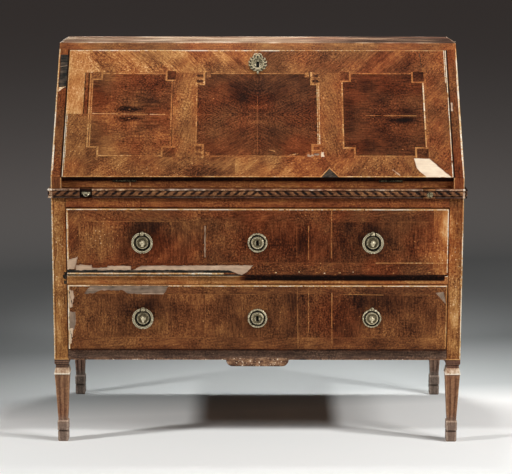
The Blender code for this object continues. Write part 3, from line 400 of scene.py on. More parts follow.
# Places that have stayed red, that are scuffed and that have gone brown, given in the same way.
RED_PLACES = [
    (0.080, 0.555, 0.240, 0.110, 0.90), (0.000, 0.628, 0.450, 0.016, 0.80),
    (0.200, 0.350, 0.110, 0.090, 0.80), (0.340, 0.860, 0.120, 0.110, 0.70),
    (0.300, 1.000, 0.220, 0.026, 0.60),
]
SCUFFED_PLACES = [
    (-0.410, 0.565, 0.110, 0.070, 1.0), (-0.250, 0.735, 0.260, 0.030, 0.9), (0.290, 0.735, 0.160, 0.030, 0.9),
    (-0.534, 0.450, 0.030, 0.220, 1.0), (0.530, 0.450, 0.030, 0.240, 1.0), (0.470, 0.530, 0.070, 0.070, 0.8),
    (-0.490, 0.780, 0.030, 0.090, 0.8), (-0.340, 0.860, 0.110, 0.100, 0.4), (0.080, 0.480, 0.420, 0.016, 0.8),
]
BROWN_PLACES = [
    (-0.420, 0.555, 0.090, 0.075, 0.90), (-0.534, 0.560, 0.030, 0.120, 0.90),
    (-0.195, 0.865, 0.030, 0.120, 0.90), (0.197, 0.865, 0.030, 0.120, 0.70),
    (0.520, 0.350, 0.025, 0.080, 0.90),
]


def veneer_finish():
    material, graph = new_finish("veneer")
    laid = graph.node("ShaderNodeUVMap", {"uv_map": "grain"})
    across, along, _ = graph.parts(laid)
    place = graph.place()
    x, _, z = graph.parts(place)
    sheet = graph.attribute("sheet")
    knot = graph.attribute("knot")
    # A knot is a dark lens that lies a little off the joint, and the grain bends round it.
    reach = ((along / 0.021) ** 2 + ((across - 0.015) / 0.0052) ** 2) ** 0.5
    bend = graph.below(reach, 0.0, 5.0) * knot * 0.010
    change, height = walnut_pattern(graph, across + bend, along, sheet)
    eye = graph.below(reach + graph.noise(graph.scaled(laid, 190), 3) * 2.4, 0.4, 2.6) * knot
    glint = graph.below(reach, 0.10, 0.22) * knot.over(0.8)
    ragged_edge = graph.noise(graph.scaled(place, 34), 4, 0.7) * 1.5

    def spread(spot_x, spot_z, half_x, half_z, strength):
        """Cloud of this strength round a spot."""
        far = (((x - spot_x) / half_x) ** 2 + ((z - spot_z) / half_z) ** 2) ** 0.5
        return graph.below(far + ragged_edge, 0.1, 1.2) * strength

    def covered(places):
        """The strongest of the clouds over these places."""
        return functools.reduce(Flow.most, [spread(*spot) for spot in places])

    tone = graph.attribute("tone")
    level = tone + change * (0.72 + tone) - eye * 0.36 + glint * 0.6
    level = sum((spread(*stain) for stain in STAINS), level)
    chips = specks(graph, place, 0.013, 0.30)
    dust = specks(graph, place, 0.006, 0.22)
    quiet = graph.step(graph.noise(graph.scaled(place, 14), 2), -0.16, 0.12)
    brown = (graph.below(z, 0.44, 0.47) * 0.75).most(covered(BROWN_PLACES))
    red, scuffed = covered(RED_PLACES), covered(SCUFFED_PLACES)
    scratches = graph.step(graph.noise(graph.vector(x * 330, z * 30, 5.0), 2), 0.08, 0.24)
    spots = specks(graph, graph.vector(x, z, 0.0), 0.0115, 0.45, "2D")
    scuffs = (spots * 0.55 + scratches * 0.22 - 0.02) * scuffed
    colour = walnut_colour(graph, level + (chips * 0.42 + dust * 0.24) * quiet + scuffs, place, brown, red)
    rough = 0.50 + graph.noise(graph.scaled(place, 30), 3) * 0.35 + chips * 0.2
    shade(graph, colour, rough, height, 0.00025, specular=0.04)
    return material


def ground_finish():
    """Bare board under lost veneer: beige, grey with dust, scored by the toothing plane."""
    material, graph = new_finish("bare_ground")
    laid = graph.node("ShaderNodeUVMap", {"uv_map": "grain"})
    across, along, _ = graph.parts(laid)
    tone = graph.attribute("tone")
    sheet = graph.attribute("sheet")
    scores = graph.noise(graph.vector(across * 420, along * 14, sheet), 3)
    cloud = graph.noise(graph.vector(across * 60, along * 40, sheet + 2), 4)
    stops = [
        (0.0, srgb(26, 26, 22)),
        (0.25, srgb(84, 70, 58)),
        (0.5, srgb(140, 118, 100)),
        (0.75, srgb(198, 166, 138)),
        (1.0, srgb(240, 220, 192)),
    ]
    colour = graph.ramp(tone + (scores * 0.5 + cloud * 0.75) * (1.3 - tone), stops)
    shade(graph, colour, 0.8, scores + cloud, 0.0004, specular=0.2)
    return material


VENEER = veneer_finish()
GROUND = ground_finish()
print("finishes", VENEER.name, GROUND.name)

# %% [markdown]
# ## Solid walnut, with worn edges
# Rails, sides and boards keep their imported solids. Their grain runs along one axis. On a box, the
# second smallest distance to its faces is the distance to the nearest edge, so the same sum finds every
# arris, and the polish there is rubbed through to pale wood.


# %% Solid walnut finish
DUST = [
    (0.0, srgb(30, 26, 24)),
    (0.3, srgb(86, 75, 67)),
    (0.55, srgb(140, 124, 112)),
    (1.0, srgb(236, 224, 210)),
]


def along_grain(graph, grain):
    """Object coordinates, their parts, and the place along and across a grain that follows one axis."""
    place = graph.place()
    x, y, z = graph.parts(place)
    along, across = {"X": (x, y + z), "Y": (y, x + z), "Z": (z, x + y)}[grain]
    return place, (x, y, z), along, across


def solid_walnut(name, grain, tone, box=None, wear=0.0025, pale=0.42, spots=0.2, dull=0.5, extra=None,
                 dust=None, brown=0.0, red=0.0, figure=1.0, grit=1.0):
    """Walnut on Object coordinates. Grain is the axis that it runs along, box is where its edges are, extra
    gives a change of tone that belongs to one piece, dust gives the share of grey over it, and figure and
    grit are how strongly the grain and the grit of old polish show."""
    material, graph = new_finish(name)
    place, (x, y, z), along, across = along_grain(graph, grain)
    change, height = walnut_pattern(graph, across, along, sum(map(ord, name)) % 40, grit)
    level = tone + change * figure + specks(graph, place, 0.019, spots) * 0.30
    if extra:
        level = level + extra(graph, x, y, z)
    if box:
        low, high = box
        gaps = [(p - a).least(b - p) for p, a, b in zip((x, y, z), low, high)]
        near, far = gaps[0].least(gaps[1]), gaps[0].most(gaps[1])
        edge = near.most(far.least(gaps[2]))
        ragged = graph.noise(graph.scaled(place, 130), 3) * 0.006
        rubbed = graph.below(edge + ragged, 0.0, wear)
        level = level + rubbed * pale
    colour = walnut_colour(graph, level, place, brown, red)
    if dust:
        colour = graph.mix(dust(graph, x, y, z), colour, graph.ramp(level, DUST))
    rough = dull + graph.noise(graph.scaled(place, 30), 3) * 0.3
    shade(graph, colour, rough, height, 0.00025, specular=0.07)
    return material


def plain_wood(name, grain, light=0.55, joints=()):
    """Unpolished secondary wood, as inside a drawer: yellow-brown, with soft lines and dust. Joints are the
    heights at which boards meet."""
    material, graph = new_finish(name)
    place, (x, y, z), along, across = along_grain(graph, grain)
    if grain == "X":
        # Upright partitions face along X, and their grain runs from front to back.
        partition = abs(graph.parts(graph.node("ShaderNodeTexCoord", output=1))[0]).over(0.7)
        along, across = along + partition * y, across - partition * y
    sway = graph.noise(graph.vector(across * 7, along * 2, 3.0), 2)
    lines = graph.noise(graph.vector((across + sway * 0.05) * 120, along * 4, 1.0), 3, 0.6)
    cloud = graph.noise(graph.scaled(place, 12), 4)
    stops = [
        (0.0, srgb(40, 28, 20)),
        (0.45, srgb(122, 86, 54)),
        (0.7, srgb(164, 124, 82)),
        (1.0, srgb(196, 162, 118)),
    ]
    level = lines * 0.8 + cloud * 0.4 + light
    for joint in joints:
        level = level - graph.below(abs(z + sway * 0.004 - joint), 0.0006, 0.0022) * 0.5 + z.over(joint) * 0.05
    colour = graph.ramp(level, stops)
    shade(graph, colour, 0.75 + cloud * 0.2, lines + cloud * 0.4, 0.0004, specular=0.25)
    return material


def coat(finish, *names):
    """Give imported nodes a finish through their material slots."""
    for name in names:
        mesh = nodes[name].data
        mesh.materials.clear()
        mesh.materials.append(finish)


print("solid walnut and plain wood are ready")

# %% [markdown]
# ## Brass and iron
# The mounts are cast brass that has gone grey-green, bright only where hands rub it. Locks and bolts are dark
# iron.


# %% Metal finishes
def aged_brass(name, high=None, rings=(), dirt=0.0, key_z=None):
    """Cast brass. High names the attribute that says how far a spot stands out of the casting, rings are dark
    grooves round a plate, dirt is what has settled everywhere, and key_z is the height of a keyhole whose slot
    is painted black as shade, wider than the hole."""
    material, graph = new_finish(name)
    place = graph.place()
    x, _, z = graph.parts(place)
    cloud = graph.noise(graph.scaled(place, 220), 4, 0.6)
    fine = graph.noise(graph.scaled(place, 1500), 3)
    grime_and_keyhole_shade = graph.step(cloud + fine * 0.6, -0.12, 0.16) + dirt
    if high:
        grime_and_keyhole_shade = graph.below(graph.attribute(high) + cloud * 0.6, 0.15, 0.85).most(grime_and_keyhole_shade * 0.4)
    up = abs(z - key_z) if key_z else abs(abs(z - MIDDLE_PULL_Z) - PULL_RISE)
    if rings:
        radius = (((PULL_X - abs(x)) ** 2).least(x ** 2) + up ** 2) ** 0.5
        for inner, outer, strength in rings:
            groove = graph.band(radius, inner, inner + 0.0008, outer - 0.0008, outer)
            grime_and_keyhole_shade = grime_and_keyhole_shade.most(groove * strength)
    # The keyhole's slot is painted black as shade.
    if rings or key_z:
        painted_keyhole_shade = graph.below(abs(x), 0.0033, 0.0044) * graph.below(up, 0.0066, 0.0082)
        grime_and_keyhole_shade = grime_and_keyhole_shade.most(painted_keyhole_shade * 1.6)
    stops = [
        (0.0, srgb(234, 221, 188)),
        (0.35, srgb(154, 140, 107)),
        (0.7, srgb(75, 67, 48)),
        (1.0, srgb(22, 20, 15)),
    ]
    colour = graph.ramp(grime_and_keyhole_shade * 0.75, stops)
    shade(graph, colour, 0.36 + grime_and_keyhole_shade * 0.3 + fine * 0.2, cloud + fine, 0.00025, metallic=0.7)
    return material


def old_iron():
    material, graph = new_finish("old_iron")
    place = graph.place()
    cloud = graph.noise(graph.scaled(place, 90), 4, 0.6)
    fine = graph.noise(graph.scaled(place, 900), 3)
    rust = graph.step(cloud + fine * 0.5, 0.02, 0.25)
    colour = graph.mix(rust, srgb(52, 49, 46), srgb(60, 39, 28))
    shade(graph, colour, 0.45 + rust * 0.3, cloud + fine, 0.0003, metallic=0.7)
    return material


PULL_X, MIDDLE_PULL_Z, PULL_RISE = 0.305, 0.44925, 0.1025
BRASS = aged_brass("aged_brass")
PLATE = aged_brass("plate_brass", rings=((0.0166, 0.0214, 1.6), (0.0070, 0.0138, 0.75)))
RELIEF = aged_brass("relief_brass", high="high")
DULL_BRASS = aged_brass("dull_brass", dirt=0.75)
IRON = old_iron()
print("metals", BRASS.name, IRON.name)

# %% [markdown]
# ## Laying marquetry
# A marquetry maker cuts every sheet from one drawing. Here the drawing is a list of outlines, painted in
# order: a later one covers an earlier one. A constrained triangulation cuts the plane along all of the
# outlines at once, and each small triangle goes to the last outline that holds it. Bare places are sunk below
# the veneer and holes stay open, so every loss is real geometry with a real edge.

# %% The marquetry layer
SHEET_THICK = 0.0012
BARE_LEVEL = 0.0003


@dataclass
class Inlay:
    """One outline of the drawing. Grain is in degrees from the drawing's first axis."""

    outline: list
    tone: float
    grain: float = 0.0
    sheet: float = 0.0
    origin: tuple = (0.0, 0.0)
    flip: tuple = (1, 1)
    fade: tuple = (0.0, 0.0)
    knot: float = 0.0
    bare: bool = False
    hole: bool = False

    def laid(self, x, y):
        """UV of a point: across the grain and along it."""
        dx, dy = (x - self.origin[0]) * self.flip[0], (y - self.origin[1]) * self.flip[1]
        turn = math.radians(self.grain)
        return dy * math.cos(turn) - dx * math.sin(turn), dx * math.cos(turn) + dy * math.sin(turn)

    def tone_at(self, x, y):
        """Tone of a point; fade is its change from the outline's low end to its high end, across and up."""
        shares = []
        for axis, spot in enumerate((x, y)):
            sides = [point[axis] for point in self.outline]
            shares.append((spot - min(sides)) / max(max(sides) - min(sides), 1e-6))
        return self.tone + self.fade[0] * (shares[0] - 0.5) + self.fade[1] * (shares[1] - 0.5)


def anticlockwise(outline):
    """The outline, turned round if it runs clockwise, because the triangulation takes that for a hole."""
    area = sum(a[0] * b[1] - a[1] * b[0] for a, b in zip(outline, [*outline[1:], outline[0]]))
    return outline if area > 0 else outline[::-1]


def lay(name, inlays, place):
    """Mesh object of a drawing; place turns a point of it and a height over the board into a point in
    space."""
    points, outlines = [], []
    for inlay in inlays:
        outlines.append(list(range(len(points), len(points) + len(inlay.outline))))
        points += [Vector(point) for point in anticlockwise(inlay.outline)]
    cut = geometry.delaunay_2d_cdt(points, [], outlines, 1, 1e-6, True)
    flat, triangles, owners = cut[0], cut[2], cut[5]
    shape = bmesh.new()
    grain = shape.loops.layers.uv.new("grain")
    tone = shape.loops.layers.float.new("tone")
    marks = {mark: shape.faces.layers.float.new(mark) for mark in ("sheet", "knot")}
    made = {}

    def corner(index, level):
        key = (index, level)
        if key not in made:
            made[key] = shape.verts.new(place(*flat[index], level))
        return made[key]

    def face(inlay, corners):
        """Corners are pairs of a point's number and a level."""
        try:
            patch = shape.faces.new([corner(*pair) for pair in corners])
        except ValueError:
            return
        patch.material_index = int(inlay.bare)
        for mark, layer in marks.items():
            patch[layer] = getattr(inlay, mark)
        for loop, (index, _) in zip(patch.loops, corners):
            loop[grain].uv = inlay.laid(*flat[index])
            loop[tone] = inlay.tone_at(*flat[index])

    tops = {}
    kept = []
    for triangle, holders in zip(triangles, owners):
        if 0 not in holders or inlays[max(holders)].hole:
            continue
        a, b, c = (flat[index] for index in triangle)
        if (b - a).cross(c - a) < 0:
            triangle = triangle[::-1]
        inlay = inlays[max(holders)]
        kept.append((inlay, triangle))
        for pair in zip(triangle, [*triangle[1:], triangle[0]]):
            tops[tuple(pair)] = inlay
    for inlay, triangle in kept:
        level = BARE_LEVEL if inlay.bare else SHEET_THICK
        face(inlay, [(index, level) for index in triangle])
        face(inlay, [(index, 0.0) for index in triangle[::-1]])
    for (first, second), inlay in tops.items():
        other = tops.get((second, first))
        if other is None:
            steps = [0.0, BARE_LEVEL] if inlay.bare else [0.0, BARE_LEVEL, SHEET_THICK]
        elif other.bare and not inlay.bare:
            steps = [BARE_LEVEL, SHEET_THICK]
        else:
            continue
        for low, high in zip(steps, steps[1:]):
            face(inlay, [(first, low), (second, low), (second, high), (first, high)])
    return finished(name, shape, VENEER, GROUND)


def as_mesh(name, shape):
    """Mesh of a shape, which is freed."""
    mesh = bpy.data.meshes.new(name)
    shape.to_mesh(mesh)
    shape.free()
    return mesh


def loft(shape, rings):
    """Faces between rings of corners, each ring closed."""
    for before, here in zip(rings, rings[1:]):
        for number in range(len(before)):
            shape.faces.new((before[number - 1], before[number], here[number], here[number - 1]))


def finished(name, shape, *finishes, smooth=False):
    """Turn a shape into a named object at the origin."""
    mesh = as_mesh(name, shape)
    for finish in finishes:
        mesh.materials.append(finish)
    if smooth:
        mesh.shade_smooth()
    piece = bpy.data.objects.new(name, mesh)
    bpy.context.scene.collection.objects.link(piece)
    return piece


def oblong(x0, y0, x1, y1):
    return [(x0, y0), (x1, y0), (x1, y1), (x0, y1)]


def strip(start, end, width):
    """Outline of a straight line of some width."""
    a, b = Vector(start), Vector(end)
    side = (b - a).orthogonal().normalized() * width / 2
    return [tuple(p) for p in (a - side, b - side, b + side, a + side)]


def ragged(outline, seed, amount=0.0016, spacing=0.006):
    """An outline with its sides broken into short uneven splinters."""
    draw = random.Random(seed)
    broken = []
    for start, end in zip(outline, [*outline[1:], outline[0]]):
        a, b = Vector(start), Vector(end)
        count = max(1, round((b - a).length / spacing))
        side = (b - a).orthogonal().normalized()
        broken.append(tuple(a))
        for number in range(1, count):
            share = (number + draw.uniform(-0.3, 0.3)) / count
            broken.append(tuple(a.lerp(b, share) + side * draw.uniform(-amount, amount)))
    return broken


def set_back(name, node, body, outwards, finish):
    """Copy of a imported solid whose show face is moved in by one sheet, to carry the veneer."""
    shape = bmesh.new()
    shape.from_mesh(nodes[node].data)
    bmesh.ops.remove_doubles(shape, verts=shape.verts, dist=1e-6)
    face = max(vert.co.dot(outwards) for vert in shape.verts)
    for vert in shape.verts:
        if vert.co.dot(outwards) > face - 1e-4:
            vert.co -= outwards * SHEET_THICK
    board = finished(name, shape, finish)
    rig.ride(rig.replaces(board, node), body)
    return board, face


print("sheets are", SHEET_THICK * 1000, "mm thick")

# %% [markdown]
# ## The fall
# The fall shows the maker's best work: three panels of dark figured walnut in golden crossbands, with fine
# strings between them and small inlaid squares at the corners. The drawing is in metres across the fall and
# up the slope, from the hinge line. The panels are pairs of mirrored sheets, so both halves share one UV
# origin on their joint.

# %% Measure the fall
HINGE = Vector(joints["fall_hinge"]["pos_m"])
UP_SLOPE = Vector(joints["fall_bolt_slide"]["axis"]).normalized()
OUT_OF_FALL = Vector((0.0, -UP_SLOPE.z, UP_SLOPE.y))
GROUND_BOARD = solid_walnut("ground_board", "X", 0.62, spots=0.3, dull=0.6)
fall_board, fall_face = set_back("fall_ground_board", "fall_board", "fall", OUT_OF_FALL, GROUND_BOARD)
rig.slot(fall_board, "fall_walnut")
FALL_FACE = fall_face - HINGE.dot(OUT_OF_FALL)
outer = [v.co - HINGE for v in nodes["fall_board"].data.vertices if v.co.dot(OUT_OF_FALL) > fall_face - 1e-4]
FALL_HALF = max(point.x for point in outer)
FALL_FOOT, FALL_TOP = (pick(point.dot(UP_SLOPE) for point in outer) for pick in (min, max))
FALL_KEY_UP = FALL_TOP - 0.046


def fall_foot_and_keyhole_shade(graph, x, y, z):
    """Painted shade on the lower edge of the fall and inside the keyhole."""
    up = (y - HINGE.y) * UP_SLOPE.y + (z - HINGE.z) * UP_SLOPE.z
    foot = graph.below(up, FALL_FOOT + 0.002, FALL_FOOT + 0.010)
    keyhole_shade = graph.below((x ** 2 + (up - FALL_KEY_UP) ** 2) ** 0.5, 0.011, 0.013)
    return foot.most(keyhole_shade) * -0.60


fall_board.data.materials[0] = solid_walnut("fall_ground", "X", 0.62, spots=0.3, dull=0.6, extra=fall_foot_and_keyhole_shade)
print("fall half width", round(FALL_HALF, 4), "up the slope", round(FALL_FOOT, 4), "to", round(FALL_TOP, 4))


def on_fall(x, up, level):
    """Point of the fall's drawing, with level measured from under its veneer."""
    return HINGE + Vector((x, 0, 0)) + UP_SLOPE * up + OUT_OF_FALL * (FALL_FACE - SHEET_THICK + level)


# %% Pieces of a drawing
def field(x0, y0, x1, y1, tone, grain, sheet, **more):
    """Square-cut piece of veneer."""
    return Inlay(oblong(x0, y0, x1, y1), tone, grain, sheet, **more)


def string(x0, y0, x1, y1, width, tone, grain, sheet):
    """Thin straight line of lighter or darker wood."""
    return Inlay(strip((x0, y0), (x1, y1), width), tone, grain, sheet)


def chip(outline, seed, tone, sheet, amount=0.0016, spacing=0.006, grain=0, bare=True):
    """Place with splintered edges, where the board is bare unless the veneer is only marked."""
    return Inlay(ragged(outline, seed, amount, spacing), tone, grain, sheet, bare=bare)


def keyhole(x, y, radius=0.0028, slot=0.0034, length=0.010, sides=12):
    """Hole of a round eye over a narrow slot."""
    start = -math.asin(slot / 2 / radius)
    turns = [start - math.pi / 2 - 2 * start + (2 * math.pi + 2 * start) * k / sides for k in range(sides + 1)]
    eye = [(x + radius * math.cos(t), y + length / 2 + radius * math.sin(t)) for t in turns]
    outline = [*eye, (x - slot / 2, y - length / 2), (x + slot / 2, y - length / 2)]
    return Inlay(outline, 0.0, hole=True)


def crossband(left, low, right, high, lean, tone, spread, grain, sheet):
    """A band pieced from short lengths that are cut on the slant, no two quite alike in tone."""
    draw = random.Random(round(sheet * 10))
    inlays = [field(left, low, right, high, tone, grain, sheet)]
    reach = lean * (high - low)
    x = left - abs(reach)
    while x < right + abs(reach):
        wide = draw.uniform(0.012, 0.042)
        corners = [(x, low), (x + wide, low), (x + wide + reach, high), (x + reach, high)]
        inside = [(min(max(across, left), right), up) for across, up in corners]
        outline = [spot for number, spot in enumerate(inside) if spot != inside[number - 1]]
        if len(outline) > 2:
            inlays.append(Inlay(outline, tone + draw.uniform(-spread, spread), grain, sheet + x))
        x += wide
    return inlays


# %% Bands and panels of the fall
BAND_FOOT, BAND_TOP = 0.0625, 0.3335
PANEL_FOOT, PANEL_TOP = 0.0665, 0.3300
LEFT_JOINT, MIDDLE_JOINT, RIGHT_JOINT = 0.199, 0.197, 0.194


def fall_bands(half, foot, top):
    """Golden crossbands round and between the panels."""
    return [
        field(-half, foot, half, top, 0.41, 35, 1.0),
        *crossband(-half, foot, -0.06, BAND_FOOT, 0.8, 0.395, 0.045, 35, 1.5),
        *crossband(-0.06, foot, 0.17, BAND_FOOT, 0.9, 0.430, 0.05, 20, 2.0),
        *crossband(0.17, foot, half, BAND_FOOT, -0.6, 0.385, 0.045, 60, 2.6),
        *crossband(-half, BAND_TOP, 0.0, top, -0.9, 0.520, 0.085, -48, 3.0),
        *crossband(0.0, BAND_TOP, half, top, 0.9, 0.365, 0.03, 48, 4.0),
        field(-half, LEFT_JOINT, -0.460, top, 0.65, 78, 5.0),
        Inlay([(-half, BAND_TOP), (-0.46, BAND_TOP), (-half, top)], 0.64, 78, 5.0),
        field(-half, foot, -0.460, LEFT_JOINT, 0.42, 62, 6.0, fade=(0.0, -0.06)),
        field(-0.4700, LEFT_JOINT, -0.4570, BAND_TOP, 0.36, 88, 6.5),
        chip(oblong(-0.4704, LEFT_JOINT, -0.4680, BAND_TOP), 50, 0.12, 6.7, 0.0006, grain=88, bare=False),
        Inlay([(0.458, BAND_FOOT), (half, foot), (half, RIGHT_JOINT), (0.458, RIGHT_JOINT)], 0.36, 55, 7.0),
        field(0.458, RIGHT_JOINT, half, top, 0.36, 50, 8.0),
        field(-0.224, BAND_FOOT, -0.167, BAND_TOP, 0.44, 72, 9.0),
        field(0.167, BAND_FOOT, 0.227, BAND_TOP, 0.39, 105, 10.0),
    ]


def fall_panels():
    """Mirrored sheets of the three panels."""
    inlays = []
    for left, right, knot_x, joint, knots, tones, sheet in (
        (-0.4470, -0.2320, -0.345, LEFT_JOINT, (1.0, 0.9), (0.31, 0.37), 21.0),
        (0.2310, 0.4470, 0.385, RIGHT_JOINT, (0.25, 0.75), (0.215, 0.215), 23.0),
    ):
        for up, limit, knot, tone in zip((1, -1), (PANEL_TOP, PANEL_FOOT), knots, tones):
            half_panel = {"origin": (knot_x, joint), "flip": (1, up), "knot": knot}
            inlays.append(field(left, joint, right, limit, tone, 0, sheet, **half_panel))
    for side, tones in ((-1, (0.25, 0.28)), (1, (0.205, 0.24))):
        for up, limit, tone in zip((1, -1), (PANEL_TOP, PANEL_FOOT), tones):
            quarter = {"origin": (0.0, MIDDLE_JOINT), "flip": (side, up)}
            inlays.append(field(0.0, MIDDLE_JOINT, side * 0.1630, limit, tone, 28, 25.0, **quarter))
    return inlays


# %% Strings and corners of the fall
# Lines round the panels and along their joints: two ends in metres, width and tone.
FALL_STRINGS = [
    (-0.4590, LEFT_JOINT, -0.4590, BAND_TOP, 0.0030, 0.16), (-0.4545, 0.0620, -0.4545, 0.3300, 0.0030, 0.62),
    (-0.4484, 0.0950, -0.4484, 0.3080, 0.0026, 0.60), (-0.2295, 0.0650, -0.2295, 0.3100, 0.0018, 0.20),
    (-0.2328, 0.0950, -0.2328, 0.3080, 0.0034, 0.50), (-0.1645, 0.0950, -0.1645, 0.2950, 0.0032, 0.52),
    (0.1610, 0.0900, 0.1610, 0.2950, 0.0022, 0.72), (0.1655, 0.0700, 0.1655, 0.2950, 0.0022, 0.74),
    (0.2288, 0.0900, 0.2288, 0.3080, 0.0038, 0.58), (0.4490, 0.0900, 0.4490, 0.1450, 0.0024, 0.70),
    (0.4490, 0.1490, 0.4490, 0.2050, 0.0028, 0.84), (0.4490, 0.2080, 0.4490, 0.3050, 0.0032, 0.90),
    (-0.4230, 0.3300, -0.2480, 0.3300, 0.0032, 0.58), (-0.4240, 0.0665, -0.2560, 0.0665, 0.0028, 0.60),
    (-0.1270, 0.3305, 0.1270, 0.3305, 0.0026, 0.52), (-0.1270, 0.0660, 0.1270, 0.0660, 0.0024, 0.50),
    (0.2520, 0.3305, 0.4190, 0.3305, 0.0030, 0.56), (0.2600, 0.0660, 0.4190, 0.0660, 0.0024, 0.48),
    (-0.4450, 0.2000, -0.3760, 0.1992, 0.0019, 0.76), (-0.3680, 0.1988, -0.2960, 0.1976, 0.0019, 0.70),
    (-0.2900, 0.1976, -0.2480, 0.1968, 0.0017, 0.74), (0.2900, 0.1945, 0.3300, 0.1942, 0.0012, 0.50),
    (0.3380, 0.1942, 0.4280, 0.1936, 0.0016, 0.68), (-0.1600, 0.1970, -0.0700, 0.1970, 0.0010, 0.42),
    (-0.0004, 0.0700, -0.0004, 0.2600, 0.0010, 0.44),
]
# Squares at the corners of the outer panels: outer corner, inner corner, and the tones of square and bars.
FALL_SQUARES = [
    (-0.4497, 0.3351, -0.4212, 0.3087, 0.33, 0.53), (-0.4571, 0.0584, -0.4234, 0.0960, 0.38, 0.50),
    (-0.2225, 0.3387, -0.2506, 0.3057, 0.24, 0.62), (-0.2180, 0.0619, -0.2574, 0.0963, 0.33, 0.54),
    (0.2243, 0.3361, 0.2534, 0.3032, 0.21, 0.50), (0.2269, 0.0595, 0.2606, 0.0939, 0.31, 0.52),
    (0.4518, 0.3364, 0.4180, 0.3002, 0.19, 0.50), (0.4542, 0.0613, 0.4185, 0.0942, 0.25, 0.56),
]
# Cells of the meander at a corner of the middle panel: two corners from the panel's middle, and a tone.
KEY_MIDDLE, KEY_HALF, KEY_TONE = 0.198, 0.1375, 0.42
KEY_CELLS = [
    (0.1430, 0.0947, 0.1690, KEY_HALF, 0.46), (0.1265, 0.1180, 0.1410, KEY_HALF, 0.26),
    (0.1285, 0.1210, 0.1390, KEY_HALF, 0.44), (0.1430, 0.0947, 0.1488, KEY_HALF, 0.59),
    (0.1430, 0.0947, 0.1690, 0.1005, 0.57), (0.1490, 0.1030, 0.1650, 0.1120, 0.20),
    (0.1490, 0.1220, 0.1650, 0.1300, 0.22),
]


def corner_square(x0, y0, x1, y1, tone, gold, bar=0.0048):
    """Small dark square at a panel's corner, with golden bars on its two inner sides."""
    right, up = (1 if x1 > x0 else -1), (1 if y1 > y0 else -1)
    dark = field(x0, y0, x1 - right * bar, y1 - up * bar, tone, 45, 7.3 + x0)
    return [field(x0, y0, x1, y1, gold, 20, 3.1), dark]


def key_corner(side, up):
    """Meander of the middle panel; side and up are 1 or -1 and say which corner. It is fainter at the
    foot."""
    clear = 1.0 if up > 0 else 0.6
    inlays = []
    for x0, y0, x1, y1, tone in KEY_CELLS:
        ends = (side * x0, KEY_MIDDLE + up * y0, side * x1, KEY_MIDDLE + up * y1)
        inlays.append(field(*ends, KEY_TONE + (tone - KEY_TONE) * clear, 0, 9.0 + x0))
    return inlays


def fall_lines():
    inlays = [string(*row, 0, 40.0 + row[0]) for row in FALL_STRINGS]
    for square in FALL_SQUARES:
        inlays += corner_square(*square)
    for side in (-1, 1):
        for up in (-1, 1):
            inlays += key_corner(side, up)
    return inlays


# %% Edges and losses of the fall
def fall_edges(half, foot, top):
    """Light lipping along the edges of the fall."""
    rows = [
        (-half, top - 0.0026, 0.06, top, 0.90, 51.0),
        (0.06, top - 0.0016, half, top, 0.72, 52.0),
        (-half, foot, half, foot + 0.0026, 0.66, 53.0),
        (-half, foot, -half + 0.0018, LEFT_JOINT, 0.94, 54.0),
        (-half + 0.0018, foot, -half + 0.0036, LEFT_JOINT, 0.24, 54.2),
        (-half + 0.0036, foot + 0.02, -half + 0.0052, LEFT_JOINT, 0.86, 54.4),
        (-half, LEFT_JOINT, -half + 0.0016, top, 0.74, 55.0),
        (half - 0.0022, foot, half, 0.045, 0.95, 56.0),
        (half - 0.0020, 0.052, half, 0.255, 0.90, 56.2),
        (half - 0.0024, 0.262, half, top, 0.92, 56.4),
        (half - 0.0044, 0.270, half - 0.0024, top, 0.12, 56.6),
        (half - 0.0064, 0.300, half - 0.0044, top, 0.90, 56.8),
    ]
    return [field(x0, y0, x1, y1, tone, 0, sheet) for x0, y0, x1, y1, tone, sheet in rows]


def fall_losses(foot):
    """Veneer that is gone, split or chipped, and a black square of painted shade round the keyhole."""
    pale = [
        (0.4138, 0.0591), (0.4554, 0.0585), (0.5120, foot), (0.4458, foot), (0.4280, 0.0180),
        (0.4209, 0.0285),
    ]
    return [
        chip(pale, 1, 0.95, 60.0, 0.0008, 0.012),
        Inlay([(0.1897, 0.0310), (0.1640, foot), (0.2180, foot)], 0.62, 45, 61.0),
        Inlay([(0.1897, 0.0275), (0.1680, foot), (0.2140, foot)], 0.14, 30, 61.0, bare=True),
        chip(strip((0.0008, 0.0560), (-0.0500, 0.0040), 0.0016), 4, 0.62, 62.0, 0.0008, bare=False),
        chip(strip((-0.0040, 0.0540), (-0.0540, 0.0040), 0.0012), 5, 0.10, 62.5, 0.0008),
        chip(strip((-0.1480, 0.0610), (-0.2000, 0.0120), 0.0010), 5, 0.12, 63.0, 0.0012),
        chip(oblong(0.1680, 0.0625, 0.1765, 0.0790), 6, 0.92, 64.0, 0.0022, 0.004),
        chip(oblong(0.1500, 0.0690, 0.1640, 0.0740), 7, 0.50, 65.0, 0.0022, 0.004),
        chip(oblong(0.1320, 0.0640, 0.1480, 0.0705), 10, 0.62, 65.2, 0.0026, 0.004),
        chip(strip((0.0850, 0.0690), (0.1080, 0.0730), 0.0024), 12, 0.66, 65.4, 0.0014, 0.005, bare=False),
        chip(strip((0.0300, 0.0850), (0.0460, 0.0800), 0.0020), 13, 0.62, 65.6, 0.0012, 0.005, bare=False),
        chip(strip((0.3560, 0.0240), (0.3760, 0.0060), 0.0030), 8, 0.80, 66.0, 0.0010),
        chip(strip((0.4470, 0.3500), (0.4440, 0.4000), 0.0016), 9, 0.10, 67.0, 0.0012),
        # A black square under the key plate is painted shade, seen through the keyhole.
        field(-0.008, FALL_KEY_UP - 0.011, 0.008, FALL_KEY_UP + 0.011, 0.02, 0, 68.0),
        keyhole(0.0, FALL_KEY_UP),
    ]


